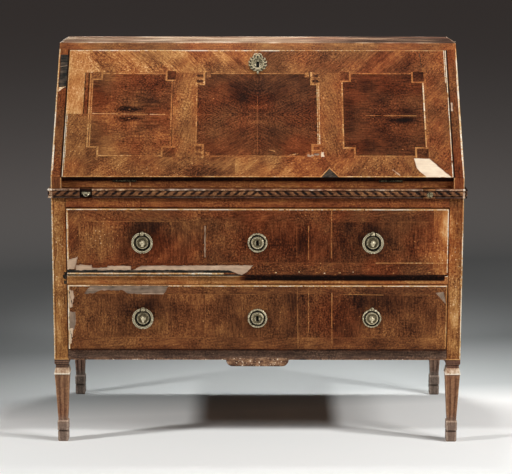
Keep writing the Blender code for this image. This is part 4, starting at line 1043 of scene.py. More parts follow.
fall_sides = (FALL_HALF, FALL_FOOT, FALL_TOP)
fall_drawing = fall_bands(*fall_sides) + fall_panels() + fall_lines()
fall_drawing += fall_edges(*fall_sides) + fall_losses(FALL_FOOT)
fall_veneer = lay("fall_veneer", fall_drawing, on_fall)
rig.ride(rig.slot(fall_veneer, "fall_walnut"), "fall")
print("fall veneer", len(fall_veneer.data.polygons), "faces")

# %% [markdown]
# ## The drawer fronts
# Both long drawers stand 10 mm proud of the frame. A crossband runs round each front, inside it lie three
# fields divided by thin strings, and a worn lipping runs round the edge, with a painted highlight along its
# top and painted shade along its foot. Long strips of veneer have broken off along the lower edge of the upper
# drawer and the upper edge of the lower one.

# %% Draw the upper drawer's front
FORWARD = Vector((0.0, -1.0, 0.0))


def lipping(left, low, right, high, gaps, right_tone=0.88, width=0.0022):
    """Pale worn edge round a front, with a painted highlight along its top, which has a few breaks, and painted shade
    along its foot.
    """
    inlays = [
        field(left, low, left + 2 * width, high, 0.84, 90, 71.0, fade=(-0.3, 0.0)),
        field(right - width, low + 0.01, right, high, right_tone, 90, 72.0),
        # Painted shade along the rounded foot of the front.
        field(left, low, right, low + 0.0040, 0.10, 0, 72.5),
    ]
    # The pale strips along the top are wear and a painted highlight where the proud edge catches the light.
    start = left
    for gap in (*gaps, right):
        inlays.append(field(start, high - width, gap, high, 0.91, 0, 73.0 + start))
        start = gap + 0.004
    return inlays


def upper_fields(left, low, right, high):
    """Crossbands, fields and strings, in metres across and up."""
    field_low, field_high = 0.497, 0.609
    return [
        field(left, low, right, high, 0.28, 8, 81.0),
        field(left, field_high, -0.15, high, 0.33, -20, 82.0),
        field(left, field_low, -0.470, high, 0.35, 55, 83.0),
        field(0.4660, low, right, high, 0.46, 88, 84.0),
        field(-0.470, field_low, -0.2300, field_high, 0.31, 90, 85.0, fade=(-0.08, 0.0)),
        field(-0.2300, field_low, -0.1390, field_high, 0.31, 90, 85.5),
        field(-0.1390, field_low, 0.1040, field_high, 0.28, 90, 86.0, fade=(-0.05, 0.0)),
        field(0.1040, field_low, 0.1960, field_high, 0.26, 90, 87.0),
        field(0.1960, field_low, 0.4660, field_high, 0.265, 90, 88.0, fade=(0.08, 0.0)),
        chip(strip((-0.1389, 0.5119), (-0.1386, 0.5970), 0.0034), 60, 0.74, 90.0, 0.0008, grain=90),
        string(0.1041, 0.5120, 0.1041, 0.5960, 0.0016, 0.46, 90, 91.0),
        string(0.1350, 0.5060, 0.1350, 0.5980, 0.0024, 0.50, 90, 92.0),
        string(0.1960, 0.5100, 0.1955, 0.6385, 0.0028, 0.52, 90, 93.0),
        string(-0.4450, 0.6089, -0.2000, 0.6080, 0.0016, 0.44, 0, 94.0),
        string(0.2100, 0.6080, 0.4600, 0.6080, 0.0014, 0.40, 0, 95.0),
        string(0.3133, 0.4972, 0.5020, 0.4974, 0.0022, 0.60, 0, 96.0),
        string(-0.1380, 0.4972, 0.3000, 0.4972, 0.0012, 0.40, 0, 97.0),
        string(-0.4715, 0.5170, -0.4715, 0.6080, 0.0016, 0.46, 90, 98.0),
    ]


def upper_losses(left, low):
    """Strips broken off along the lower edge: dark bands of painted shade in the gap under the lost lip, pale board,
    and small chips to the right.
    """
    corner = [
        (left, 0.4800), (-0.4859, 0.4800), (-0.4800, 0.4976), (-0.4759, 0.5155),
        (-0.4841, 0.5100), (-0.4990, 0.5072), (left, 0.5017),
    ]
    long_strip = [
        (-0.3300, 0.4780), (-0.0780, 0.4775), (-0.0416, 0.4640), (-0.0267, 0.4733), (-0.0104, 0.4913),
        (-0.3058, 0.4896),
    ]
    inlays = [
        chip(corner, 11, 0.74, 100.0, 0.0010),
        # Painted shade in the gap left by the lost lip.
        field(left, 0.4703, -0.0400, 0.4790, 0.02, 0, 101.0, bare=True),
        chip(oblong(-0.4819, 0.4770, -0.4397, 0.4915), 12, 0.70, 101.2),
        chip(oblong(-0.4400, 0.4775, -0.3978, 0.4845), 13, 0.62, 101.5),
        chip(oblong(-0.3978, 0.4775, -0.3360, 0.4890), 14, 0.72, 102.0, 0.0012),
        chip(long_strip, 15, 0.70, 103.0, 0.0008),
        # Painted shade in the gap left by the lost lip.
        field(left, low, -0.0450, 0.4663, 0.03, 0, 104.0, bare=True),
        chip(oblong(left + 0.004, 0.4663, -0.0900, 0.4700), 16, 0.84, 105.0, 0.0004, 0.02, bare=False),
    ]
    for number, (x, z, wide) in enumerate((
        (0.046, 0.4700, 0.005), (0.109, 0.4722, 0.003), (0.176, 0.4680, 0.004), (0.215, 0.4694, 0.006),
        (0.253, 0.4716, 0.002), (0.360, 0.4690, 0.003), (0.454, 0.4704, 0.006),
    )):
        spot = oblong(x, z, x + wide, z + 0.0022)
        inlays.append(chip(spot, 200 + number, 0.76, 106.0 + x, 0.0010, 0.002, bare=False))
    return inlays


def upper_front(left, low, right, high):
    """Drawing of the upper drawer's front."""
    edges = lipping(left, low, right, high, (-0.31, 0.07, 0.28))
    hole = keyhole(0.0, (low + high) / 2)
    return [*upper_fields(left, low, right, high), *edges, *upper_losses(left, low), hole]


# %% Draw the lower drawer's front
def lower_fields(left, low, right, high):
    field_low, field_high = 0.294, 0.4125
    return [
        field(left, low, right, high, 0.31, 6, 111.0),
        field(left, 0.412, right, high, 0.31, -8, 112.0),
        field(left, low, -0.4750, high, 0.34, 60, 113.0),
        field(0.4780, low, right, high, 0.38, 88, 114.0),
        field(-0.4750, field_low, -0.1390, field_high, 0.33, 90, 115.0),
        field(-0.1390, field_low, 0.1040, field_high, 0.315, 90, 116.0, fade=(-0.12, 0.0)),
        field(0.1040, field_low, 0.1980, field_high, 0.27, 90, 117.0),
        field(0.1980, field_low, 0.4780, field_high, 0.285, 88, 118.0),
        string(-0.1398, 0.3056, -0.1370, 0.4000, 0.0022, 0.46, 90, 119.0),
        string(0.1090, 0.2640, 0.1060, 0.4330, 0.0018, 0.42, 90, 120.0),
        string(0.1364, 0.3060, 0.1360, 0.4280, 0.0024, 0.47, 90, 121.0),
        string(0.1992, 0.2640, 0.1980, 0.4150, 0.0026, 0.53, 90, 122.0),
        string(0.2198, 0.4124, 0.3356, 0.4105, 0.0018, 0.54, 0, 123.0),
        string(-0.2300, 0.4123, -0.0050, 0.4118, 0.0014, 0.42, 0, 124.0),
        string(0.3400, 0.4105, 0.4700, 0.4110, 0.0012, 0.40, 0, 124.5),
        string(-0.4300, 0.2945, -0.1500, 0.2940, 0.0014, 0.44, 0, 125.0),
        string(0.2010, 0.2930, 0.4600, 0.2930, 0.0013, 0.42, 0, 126.0),
        # The rounded foot of the front is painted darker as shade.
        field(left, low, right, 0.2634, 0.23, 0, 128.0),
    ]


def lower_losses(left, high):
    """A grey strip gone from the top, and splinters gone from the left edge and the right corner."""
    top_strip = [
        (-0.4446, high), (-0.2358, high), (-0.2496, 0.4123), (-0.3093, 0.4123), (-0.3473, 0.4142),
        (-0.3580, 0.4225), (-0.4178, 0.4224), (-0.4342, 0.4140), (-0.4614, 0.4126),
    ]
    upper_left = [
        (left, 0.4240), (-0.4900, 0.4220), (-0.4880, 0.4080), (-0.4905, 0.3940), (-0.4935, 0.3760),
        (left, 0.3740),
    ]
    middle_left = [
        (-0.5030, 0.3640), (-0.4850, 0.3640), (-0.4835, 0.3400), (-0.4880, 0.3180), (-0.4960, 0.3080),
        (-0.5030, 0.3080),
    ]
    lower_left = [(left, 0.3150), (-0.4925, 0.3190), (-0.4940, 0.3000), (-0.4985, 0.2760), (left, 0.2740)]
    return [
        chip(top_strip, 21, 0.42, 130.0, 0.0011, 0.005),
        Inlay(strip((-0.2496, 0.4130), (-0.3080, 0.4130), 0.0022), 0.70, 0, 130.5, bare=True),
        chip(upper_left, 22, 0.72, 131.0, 0.0014, 0.004, 90),
        chip(middle_left, 23, 0.52, 131.5, 0.0012, 0.005, 90),
        chip(lower_left, 24, 0.84, 132.0, 0.0014, 0.004, 90),
        chip(oblong(left, 0.2740, left + 0.0022, 0.4240), 25, 0.92, 132.5, 0.0009, 0.006, 90, bare=False),
        chip(strip((-0.5010, 0.4200), (-0.4945, 0.3860), 0.0016), 26, 0.08, 133.0, 0.0009, 0.004, 90),
        chip(strip((-0.4990, 0.3120), (-0.4955, 0.2880), 0.0014), 27, 0.10, 133.2, 0.0009, 0.004, 90),
        Inlay([(0.4735, 0.4168), (0.4958, 0.4195), (0.5031, 0.3845)], 0.52, 60, 133.0, bare=True),
    ]


def lower_front(left, low, right, high):
    """Drawing of the lower drawer's front."""
    edges = lipping(left, low, right, high, (-0.2, 0.12, 0.33), 0.60)
    hole = keyhole(0.0, (low + high) / 2)
    return [*lower_fields(left, low, right, high), *edges, *lower_losses(left, high), hole]


# %% Lay the drawer fronts
def veneered(node, body, board_name, veneer_name, finish, drawing):
    """Ground board of an upright front and the veneer on it; drawing takes the front's left, low, right and
    high."""
    low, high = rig.box(node)
    board, _ = set_back(board_name, node, body, FORWARD, finish)
    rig.slot(board, "walnut")
    face_y = low.y + SHEET_THICK

    def on_front(x, z, level):
        return Vector((x, face_y - level, z))

    veneer = lay(veneer_name, drawing(low.x, low.z, high.x, high.z), on_front)
    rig.ride(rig.slot(veneer, "walnut"), body)
    print(veneer_name, len(veneer.data.polygons), "faces")


for name, drawing in (("upper", upper_front), ("lower", lower_front)):
    drawer = f"{name}_drawer"
    veneered(f"{drawer}_front", drawer, f"{name}_ground_board", f"{drawer}_veneer", GROUND_BOARD, drawing)

# %% [markdown]
# ## Stiles
# The corner stiles carry upright veneer with a pale string down the outer edge and many small marks. The
# right one is bleached to gold low down, and the left one has lost small splinters beside the drawers.


# %% Veneer the stiles
def stile_drawing(side, left, low, right, high):
    outer, inner = (left, right) if side < 0 else (right, left)
    inwards = -side
    inlays = [
        field(left, low, right, high, 0.48 - 0.01 * side, 90, 140.0 + side),
        field(outer, low, outer + inwards * 0.0024, high, 0.82, 90, 142.0),
        field(outer + inwards * 0.0052, low, outer + inwards * 0.0068, high, 0.26, 90, 143.0),
        field(inner, low, inner - inwards * 0.0020, high, 0.22, 90, 144.0),
        field(left, low, right, low + 0.0028, 0.66, 0, 145.0),
    ]
    draw = random.Random(300 + side)
    for number in range(16):
        x, z = draw.uniform(left + 0.004, right - 0.004), draw.uniform(low + 0.01, high - 0.06)
        end = (x + draw.uniform(-0.002, 0.002), z + draw.uniform(0.008, 0.045))
        mark = strip((x, z), end, draw.uniform(0.0009, 0.0022))
        tone = draw.choice((0.28, 0.32, 0.60, 0.68))
        inlays.append(chip(mark, 310 + number, tone, 146.0 + number, 0.0004, grain=90, bare=False))
    if side < 0:
        for low_z, high_z in ((0.452, 0.470), (0.438, 0.448)):
            patch = oblong(right - 0.0085, low_z, right, high_z)
            inlays.append(chip(patch, 32, 0.02, 148.0, 0.003, 0.005, 90))
    return inlays


STILE_BOARD = solid_walnut("stile_board_walnut", "Z", 0.36, grit=0.35)
for name, side in (("left", -1), ("right", 1)):
    stile = f"{name}_stile"
    drawing = functools.partial(stile_drawing, side)
    veneered(stile, "case", f"{stile}_board", f"{stile}_veneer", STILE_BOARD, drawing)

# %% [markdown]
# ## Slanted edges of the sides
# Beside the fall the front edges of the two sides are cut to the slope and faced with a narrow strip. Hands
# and dusters have worn their outer corners white. On the left a piece of the facing is gone and shows dark
# old glue.


# %% Face the slanted edges
def slope_drawing(side, inner, outer, low, high):
    inwards = -side
    inlays = [
        field(inner, low, outer, high, 0.31 - side * 0.015, 90, 150.0 + side),
        field(outer, low, outer + inwards * 0.0030, high, 0.88, 90, 152.0),
        field(outer + inwards * 0.0030, low, outer + inwards * 0.0044, high, 0.40, 90, 152.5),
        # The inner edge is painted dark as shade in the gap beside the fall.
        field(inner, low, inner - inwards * 0.0022, high, 0.05, 90, 153.0),
    ]
    if side > 0:
        worn = field(outer, 0.05, outer + inwards * 0.0042, 0.33, 0.93, 90, 154.0)
        return [*inlays, worn, chip(oblong(0.521, 0.208, 0.526, 0.236), 41, 0.80, 155.0, 0.001, grain=90)]
    return [
        *inlays,
        chip(oblong(-0.5400, 0.283, -0.5192, 0.392), 42, 0.06, 156.0, 0.0012, 0.010),
        chip(strip((-0.540, 0.352), (-0.520, 0.357), 0.003), 43, 0.34, 157.0, 0.0008),
        chip([(-0.540, 0.270), (-0.540, 0.284), (-0.521, 0.287)], 44, 0.92, 158.0, 0.0006, bare=False),
        field(outer, 0.02, outer + 0.0046, 0.10, 0.93, 90, 159.0),
    ]


for name, side in (("left", -1), ("right", 1)):
    verts = [vert.co - HINGE for vert in nodes[f"{name}_side"].data.vertices]
    slope_level = max(point.dot(OUT_OF_FALL) for point in verts)
    ups = [point.dot(UP_SLOPE) for point in verts if point.dot(OUT_OF_FALL) > slope_level - 1e-4]
    across = [abs(point.x) for point in verts]

    def on_slope(x, up, level, base=slope_level):
        return HINGE + Vector((x, 0, 0)) + UP_SLOPE * up + OUT_OF_FALL * (base + level)

    drawing = slope_drawing(side, side * min(across), side * max(across), min(ups), max(ups))
    facing = lay(f"{name}_slope_facing", drawing, on_slope)
    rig.ride(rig.slot(facing, "walnut"), "case")
print("slanted edges faced from", round(min(ups), 4), "to", round(max(ups), 4))

# %% [markdown]
# ## The rest of the woodwork
# Rails, sides, top and legs keep their solids and take solid walnut with edge wear. What nobody sees, the
# drawer sides, bottoms and back, is plain wood with its grain along each board.

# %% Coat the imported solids
def frieze_marks_and_shade(graph, x, y, z):
    """Painted shade under the rope, and a dark line along the drawer's upper edge."""
    return graph.step(z, 0.664, 0.671) * -0.16 - graph.below(z, 0.6440, 0.6465) * 0.30


def middle_rail_marks_light_and_shade(graph, x, y, z):
    """Painted light on the left, where the lip above is lost and throws no shade, and dirt with painted shade under
    the lip on the right.
    """
    right = graph.band(x, -0.06, -0.02, 0.496, 0.500)
    # On the right the upper part takes dirt and painted shade under the drawer's lip.
    upper = graph.step(z, 0.4470, 0.4492)
    bead = graph.band(z, 0.4388, 0.4405, 0.4452, 0.4470)
    top_line = graph.step(z, 0.4568, 0.4585)
    foot = graph.below(z, 0.4374, 0.4388)
    return right * (bead * 0.18 - upper * 0.38) + (1 - right) * (top_line * 0.30 + 0.18) - foot * 0.2


def bottom_rail_marks_and_light(graph, x, y, z):
    """A little painted light in the lip's shade at the top, chipped and flecked along the lower edge and on the tail,
    and darker at the foot.
    """
    fleck = graph.step(graph.noise(graph.vector(x * 210, y * 210, z * 280), 3), 0.10, 0.20)
    blotch = graph.noise(graph.vector(x * 70, y * 70, z * 110), 3)
    edge = graph.below(z + blotch * 0.006, 0.2312, 0.2338)
    tail = graph.below(abs(x + 0.004), 0.076, 0.090) * graph.below(z, 0.232, 0.238)
    chipped = edge.most(tail) * (fleck * 0.62 + blotch * 0.9)
    foot = graph.below(z + blotch * 0.004, 0.2125, 0.2165)
    # Painted light: the band under the drawer's lip, where its shade falls, is lifted a little.
    rubbed = graph.step(z, 0.2395, 0.2440) * 0.03
    return chipped + edge * (1 - tail) * 0.10 + tail * 0.12 - foot * 0.18 + rubbed


def tail_dust(graph, x, y, z):
    return 0.62 - graph.below(z, 0.230, 0.240) * 0.22


def bed_marks_and_shade(graph, x, y, z):
    """Painted shade in the gap under the fall, a rubbed line over the rope, and one scratch."""
    front = graph.below(y, -0.2240, -0.2225)
    line = graph.band(z, 0.6965, 0.6975, 0.6990, 0.7005)
    uneven = graph.noise(graph.vector(x * 70, y, z * 70), 3)
    scratch = graph.below(abs(x + 0.337), 0.0006, 0.0018) * graph.step(z, 0.6985, 0.7010)
    return front * (line * (0.05 + uneven * 0.7) + scratch * 0.40 - graph.step(z, 0.7115, 0.7138) * 0.35)


# Each rail's marks, with the painted light and shade that some of them carry.
for name, tone, wear, pale, marks, hue in (
    ("frieze_rail", 0.385, 0.0012, 0.15, frieze_marks_and_shade, {"red": 0.8}),
    ("middle_rail", 0.36, 0.0012, 0.20, middle_rail_marks_light_and_shade, {}),
    ("bottom_rail", 0.30, 0.0012, 0.12, bottom_rail_marks_and_light, {"brown": 0.9, "dust": tail_dust}),
    ("writing_bed", 0.40, 0.0010, 0.15, bed_marks_and_shade, {"red": 0.6}),
):
    coat(solid_walnut(f"{name}_walnut", "X", tone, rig.box(name), wear, pale, extra=marks, **hue), name)


def top_wear(graph, x, y, z):
    """The upper face is scrubbed pale along the grain, most of all at its front; the bevel keeps its
    polish."""
    patches = graph.noise(graph.vector(x * 5, y * 16, 2.0), 4, 0.55)
    streaks = graph.noise(graph.vector(x * 5, y * 90, 6.0), 4, 0.65)
    upper = graph.step(z, 1.0560, 1.0575)
    arris = upper * graph.below(y, 0.030, 0.070)
    bright = graph.step(graph.noise(graph.vector(x * 8, 3.0, 1.0), 3, 0.6), -0.05, 0.12)
    bleached = graph.below(x, 0.06, 0.36)
    line = graph.below(z, 1.0205, 1.0225)
    scrubbed = (patches * 1.5 + streaks * 1.0).most(-0.16)
    return upper * (bleached * 0.25 - 0.07 + scrubbed) + arris * bright * 0.50 - line * 0.35


def top_dust(graph, x, y, z):
    return graph.step(z, 1.0560, 1.0575) * 0.55


top_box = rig.box("top_board")
top_finish = solid_walnut("top_board_walnut", "X", 0.41, top_box, 0.0040, 0.50, extra=top_wear, dust=top_dust)
coat(top_finish, "top_board")
for name in ("left_side", "right_side"):
    coat(solid_walnut(f"{name}_walnut", "Z", 0.34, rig.box(name), 0.0030, 0.5, grit=0.35), name)


def loper_dirt(graph, x, y, z):
    return graph.below(y, -0.2396, -0.2388) * -0.20


for name in ("left_loper", "right_loper"):
    coat(solid_walnut(f"{name}_walnut", "Y", 0.22, extra=loper_dirt), name)
for name in ("left_nest_drawer", "right_nest_drawer"):
    coat(solid_walnut(f"{name}_walnut", "X", 0.36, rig.box(name), 0.0020, 0.3), name)
PLAIN = {axis: plain_wood(f"plain_wood_{axis.lower()}", axis) for axis in "XYZ"}
# The bottom board is painted dark as shade under the case, so that it throws little light onto the floor below.
coat(plain_wood("dirty_wood", "X", 0.12), "bottom_board")
coat(PLAIN["X"], "dust_board", "loper_bearer", "nest_frame")
coat(plain_wood("back_boards", "X", 0.46, (0.405, 0.612, 0.836)), "back_panel")
for drawer in ("upper", "lower"):
    coat(PLAIN["X"], f"{drawer}_drawer_back", f"{drawer}_drawer_bottom")
    coat(PLAIN["Y"], f"{drawer}_drawer_left_side", f"{drawer}_drawer_right_side")
    coat(IRON, f"{drawer}_drawer_lock", f"{drawer}_drawer_bolt")
    coat(PLATE, f"{drawer}_drawer_key_plate", f"{drawer}_left_pull_plate", f"{drawer}_right_pull_plate")
coat(IRON, "fall_lock", "fall_bolt")
coat(DULL_BRASS, "upper_left_ring", "upper_right_ring", "lower_left_ring")
coat(aged_brass("worn_brass", dirt=0.40), "right_loper_knob")
KEY_BRASS = aged_brass("key_brass", None, ((0.0132, 0.0260, 1.5),), 0.08, on_fall(0.0, FALL_KEY_UP, 0.0).z)
coat(KEY_BRASS, "fall_key_plate")
coat(BRASS, "left_hinge_pin", "right_hinge_pin")
coat(aged_brass("rubbed_brass", dirt=-0.5), "left_loper_staple")
for side in ("left", "right"):
    coat(DULL_BRASS, f"{side}_bed_hinge_leaf", f"{side}_fall_hinge_leaf")
print("packed solids coated")

# %% [markdown]
# ## Legs
# The square tapered legs have two hollow flutes in each face, a moulded collar and a small ankle block. All
# four solids are alike, so one finish serves them: it works out the height on the leg and the distance from
# its middle line, lightens the arrises and the collar, paints the fillet between the flutes light as lit, the
# flutes and the reeded neck dark as shaded and the back legs a little darker as shade, and darkens the groove
# above the foot.


# %% Leg finish
LEG_X, FRONT_LEG_Y, BACK_LEG_Y = 0.5258, -0.2213, 0.2487


def leg_wear_and_shading(graph, x, y, z):
    behind = y.over(0.0)
    side = abs(abs(x) - LEG_X)
    depth = abs(y - behind * (BACK_LEG_Y - FRONT_LEG_Y) - FRONT_LEG_Y)
    half = z * 0.0538 + 0.0090
    off_middle = side.least(depth) / half
    uneven = graph.noise(graph.vector(x * 160, y * 160, z * 90), 3)
    shaft = graph.band(z, 0.058, 0.062, 0.184, 0.190)
    collar = graph.band(z, 0.188, 0.190, 0.204, 0.209)
    rim = graph.band(z, 0.1885, 0.1892, 0.1915, 0.1935)
    # The neck is painted dark as shade, with stripes of painted light and shade for its reeds.
    shaded_neck = graph.step(z, 0.2060, 0.2075)
    painted_reeds = (z * 1000).maths("SINE", z * 1000)
    ankle = graph.band(z, 0.0535, 0.0555, 0.0585, 0.0600)
    groove = graph.band(z, 0.0265, 0.0280, 0.0320, 0.0335)
    # The fillet between the flutes is painted light as lit, and the flutes dark as shaded.
    fillet = graph.below(off_middle, 0.14, 0.22) * shaft
    shaded_flute = graph.band(off_middle, 0.20, 0.30, 0.55, 0.66) * shaft
    arris = graph.step(off_middle + uneven * 0.25, 0.84, 0.97)
    light = fillet * 0.05 + arris * 0.16 + collar * (0.26 + uneven * 0.8) + rim * 0.28 + ankle * 0.16
    # The back legs are painted a little darker as shade.
    dark = shaded_flute * 0.05 + shaded_neck * (0.12 + painted_reeds * 0.10) + groove * 0.12 + behind * 0.06
    return light - dark + uneven * 0.16


def leg_dust(graph, x, y, z):
    low = graph.below(z, 0.045, 0.085)
    top = graph.step(z, 0.180, 0.195)
    return (0.34 + low * 0.50 + top * 0.20 + y.over(0.0) * 0.36).least(0.95)


coat(solid_walnut("leg_walnut", "Z", 0.44, spots=0.35, extra=leg_wear_and_shading, dust=leg_dust, figure=0.6),
     *[f"{row}_{side}_leg" for row in ("front", "back") for side in ("left", "right")])
print("legs coated")

# %% [markdown]
# ## Growing repeats with Geometry Nodes
# Strands, beads and leaves repeat along a path, so each is grown by a node tree with named sizes. The tree
# runs once, its result is kept as a plain mesh, and the mesh is put in its place.


# %% Trees and their results
def new_tree(name, sizes):
    """An empty tree with these named number inputs; gives the tree, its graph and the flow of each input."""
    tree = bpy.data.node_groups.new(name, "GeometryNodeTree")
    tree.interface.new_socket("Geometry", in_out="OUTPUT", socket_type="NodeSocketGeometry")
    for size in sizes:
        tree.interface.new_socket(size, in_out="INPUT", socket_type="NodeSocketFloat")
    entry = tree.nodes.new("NodeGroupInput")
    return tree, Graph(tree), {size: Flow(entry.outputs[size]) for size in sizes}


def close_tree(graph, grown, finish):
    """Make instances real, set the finish and lead to the tree's output."""
    real = graph.node("GeometryNodeRealizeInstances", inputs={0: grown})
    done = graph.node("GeometryNodeSetMaterial", inputs={"Geometry": real, "Material": finish})
    graph.node("NodeGroupOutput", inputs={0: done})


def grow(tree, place, **sizes):
    """Run a tree with these sizes and give its result as a plain mesh in its place."""
    seed = bpy.data.objects.new("seed", bpy.data.meshes.new("seed"))
    bpy.context.scene.collection.objects.link(seed)
    modifier = seed.modifiers.new("grow", "NODES")
    modifier.node_group = tree
    for item in tree.interface.items_tree:
        if item.in_out == "INPUT":
            modifier[item.identifier] = float(sizes[item.name])
    view = bpy.context.evaluated_depsgraph_get()
    grown = seed.evaluated_get(view)
    mesh = bpy.data.meshes.new_from_object(grown, preserve_all_data_layers=True, depsgraph=view)
    bpy.data.objects.remove(seed)
    mesh.transform(place)
    return mesh


def gather(name, meshes, finish, smooth=True):
    """One object from several meshes, with doubles merged, open ends capped and faces outwards."""
    shape = bmesh.new()
    for mesh in meshes:
        shape.from_mesh(mesh)
    bmesh.ops.remove_doubles(shape, verts=shape.verts, dist=1e-6)
    bmesh.ops.holes_fill(shape, edges=shape.edges, sides=0)
    bmesh.ops.recalc_face_normals(shape, faces=shape.faces)
    for part in shape.faces:
        part.material_index = 0
    return finished(name, shape, finish, smooth=smooth)


print("trees can be grown")

# %% [markdown]
# ## Carved rope
# A rope-twist bead runs along the front under the fall, between two plain fillets, and returns down both
# sides. The strands lean up to the left on one half and up to the right on the other. A flat grid is bent to
# a half round and sunk along slanting lines, which is the rule a carver follows with a template. The depth is
# kept for the finish, which paints dirt and shade in the grooves from it, and it is worked out while the grid
# is still flat.

# %% Rope finish and tree
ROPE_ROWS = 14


def rope_finish():
    material, graph = new_finish("rope_walnut")
    place = graph.place()
    x, y, z = graph.parts(place)
    change, height = walnut_pattern(graph, z, x + y, 9.0)
    sunk = graph.attribute("sunk")
    # The grooves are darkened with dirt and painted shade.
    dirt = graph.step(sunk, 0.10, 0.38)
    rubbed = graph.step(graph.noise(graph.scaled(place, 90), 3) - sunk * 0.4, -0.10, 0.15)
    level = 0.335 + change * 0.8 - dirt * 0.29 + rubbed * 0.13
    colour = graph.mix(0.14, graph.ramp(level, WALNUT), graph.ramp(level, DUST))
    shade(graph, colour, 0.55, height, 0.0002, specular=0.07)
    return material


def rope_tree(finish):
    """Rope along X with its flat back on y = 0. Its strands rise to the right for a lean of 1, to the left
    for -1."""
    sizes = ("Length", "Pitch", "Height", "Reach", "Groove", "Lean", "Columns")
    tree, graph, size = new_tree("rope", sizes)
    grid = {"Size X": size["Length"], "Size Y": 1.0, "Vertices X": size["Columns"], "Vertices Y": ROPE_ROWS}
    sheet = graph.node("GeometryNodeMeshGrid", inputs=grid)
    x, row, _ = graph.parts(graph.node("GeometryNodeInputPosition"))
    share = (row + 0.5) * ((ROPE_ROWS - 1) / (ROPE_ROWS - 2))
    back = share.over(1.01)
    turn = (share * (1 - back) - 0.5) * math.pi
    strand = x / size["Pitch"] - size["Lean"] * turn * (0.90 / math.pi)
    wave = abs((strand * math.pi).maths("SINE", strand * math.pi))
    sunk = (1 - wave) ** 1.3
    swell = 1 - sunk * size["Groove"]
    y = turn.maths("COSINE", turn).most(0.0) ** 0.55 * swell * size["Reach"] * -1
    z = turn.maths("SINE", turn) * swell * size["Height"] / 2
    # Only round the front of the rope does the depth carry the painted dark of the grooves.
    held = (1 - abs(turn - 0.25) / 1.1).most(0.0)
    kept = graph.node("GeometryNodeStoreNamedAttribute", {"data_type": "FLOAT", "domain": "POINT"},
                      {"Geometry": sheet, "Name": "sunk", "Value": sunk * held})
    bent = graph.node("GeometryNodeSetPosition", inputs={"Geometry": kept, "Position": graph.vector(x, y, z)})
    close_tree(graph, bent, finish)
    return tree


ROPE_WALNUT = rope_finish()
ROPE = rope_tree(ROPE_WALNUT)


ROPE_PITCH, ROPE_HEIGHT, ROPE_REACH, ROPE_GROOVE = 0.023, 0.0150, 0.0126, 0.28
COLUMNS_PER_STRAND = 14


def rope_run(start, end, lean, place, reach=ROPE_REACH):
    """Mesh of one run of rope from start to end along X, put in its place."""
    length = end - start
    columns = max(8, round(length / ROPE_PITCH * COLUMNS_PER_STRAND))
    along = place @ Matrix.Translation(((start + end) / 2, 0.0, 0.0))
    return grow(ROPE, along, Length=length, Pitch=ROPE_PITCH, Height=ROPE_HEIGHT, Reach=reach,
                Groove=ROPE_GROOVE, Lean=lean, Columns=columns)


# %% Rope mouldings on the case
rope_low, rope_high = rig.box("front_rope_moulding")
ROPE_FACE = rope_high.y
ROPE_MIDDLE = (rope_low.z + rope_high.z) / 2
ROPE_HALF = (rope_high.z - rope_low.z) / 2
CORNER_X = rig.box("right_side")[1].x
BACK_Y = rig.box("right_side")[1].y
SIDE_REACH = 0.75
RETURN_GAP = 0.0003
FACING_GAP = 0.0005
FILLETS = [
    (0.0, -1.0), (0.0075, -1.0), (0.0088, -0.90), (0.0088, -0.68), (0.0050, -0.60), (0.0050, 0.58),
    (0.0096, 0.66), (0.0105, 0.74), (0.0105, 0.92), (0.0094, 1.0), (0.0, 1.0),
]


def fillet_run(stations):
    """Mesh of the moulding's back and fillets through stations, each a start point and an outward
    direction."""
    shape = bmesh.new()
    rings = []
    for point, outward in stations:
        ring = []
        for reach, share in FILLETS:
            spot = Vector(point) + Vector(outward) * reach + Vector((0, 0, share * ROPE_HALF))
            ring.append(shape.verts.new(spot))
        rings.append(ring)
    loft(shape, rings)
    return as_mesh("fillets", shape)


front = Matrix.Translation((0.0, ROPE_FACE, ROPE_MIDDLE))
runs = [rope_run(rope_low.x, 0.0, 1, front), rope_run(0.0, rope_high.x, -1, front)]
rope_front = gather("front_rope_carving", runs, ROPE_WALNUT)
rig.ride(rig.slot(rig.replaces(rope_front, "front_rope_moulding"), "walnut"), "case")
line = [((x, ROPE_FACE, ROPE_MIDDLE), (0, -1, 0)) for x in (rope_low.x, rope_high.x)]
fillets = [fillet_run(line)]
for name, side in (("left", -1), ("right", 1)):
    low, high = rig.box(f"{name}_rope_return")
    start = side * (low.x if side > 0 else high.x)
    end = CORNER_X - 0.004
    short = rope_run(start, end, -1, front) if side > 0 else rope_run(-end, -start, 1, front)
    corner = side * (CORNER_X + RETURN_GAP)
    turned = Matrix.Translation((corner, 0.0, ROPE_MIDDLE)) @ Matrix.Rotation(side * math.pi / 2, 4, "Z")
    span = (ROPE_FACE, BACK_Y) if side > 0 else (-BACK_Y, -ROPE_FACE)
    long = rope_run(*span, -side, turned, SIDE_REACH * ROPE_REACH)
    carving = gather(f"{name}_rope_carving", [short, long], ROPE_WALNUT)
    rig.ride(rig.slot(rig.replaces(carving, f"{name}_rope_return"), "walnut"), "case")
    fillets.append(fillet_run([
        ((side * start, ROPE_FACE, ROPE_MIDDLE), (0, -1, 0)),
        ((corner, ROPE_FACE, ROPE_MIDDLE), (side * SIDE_REACH, -1, 0)),
        ((corner, BACK_Y, ROPE_MIDDLE), (side * SIDE_REACH, 0, 0)),
    ]))


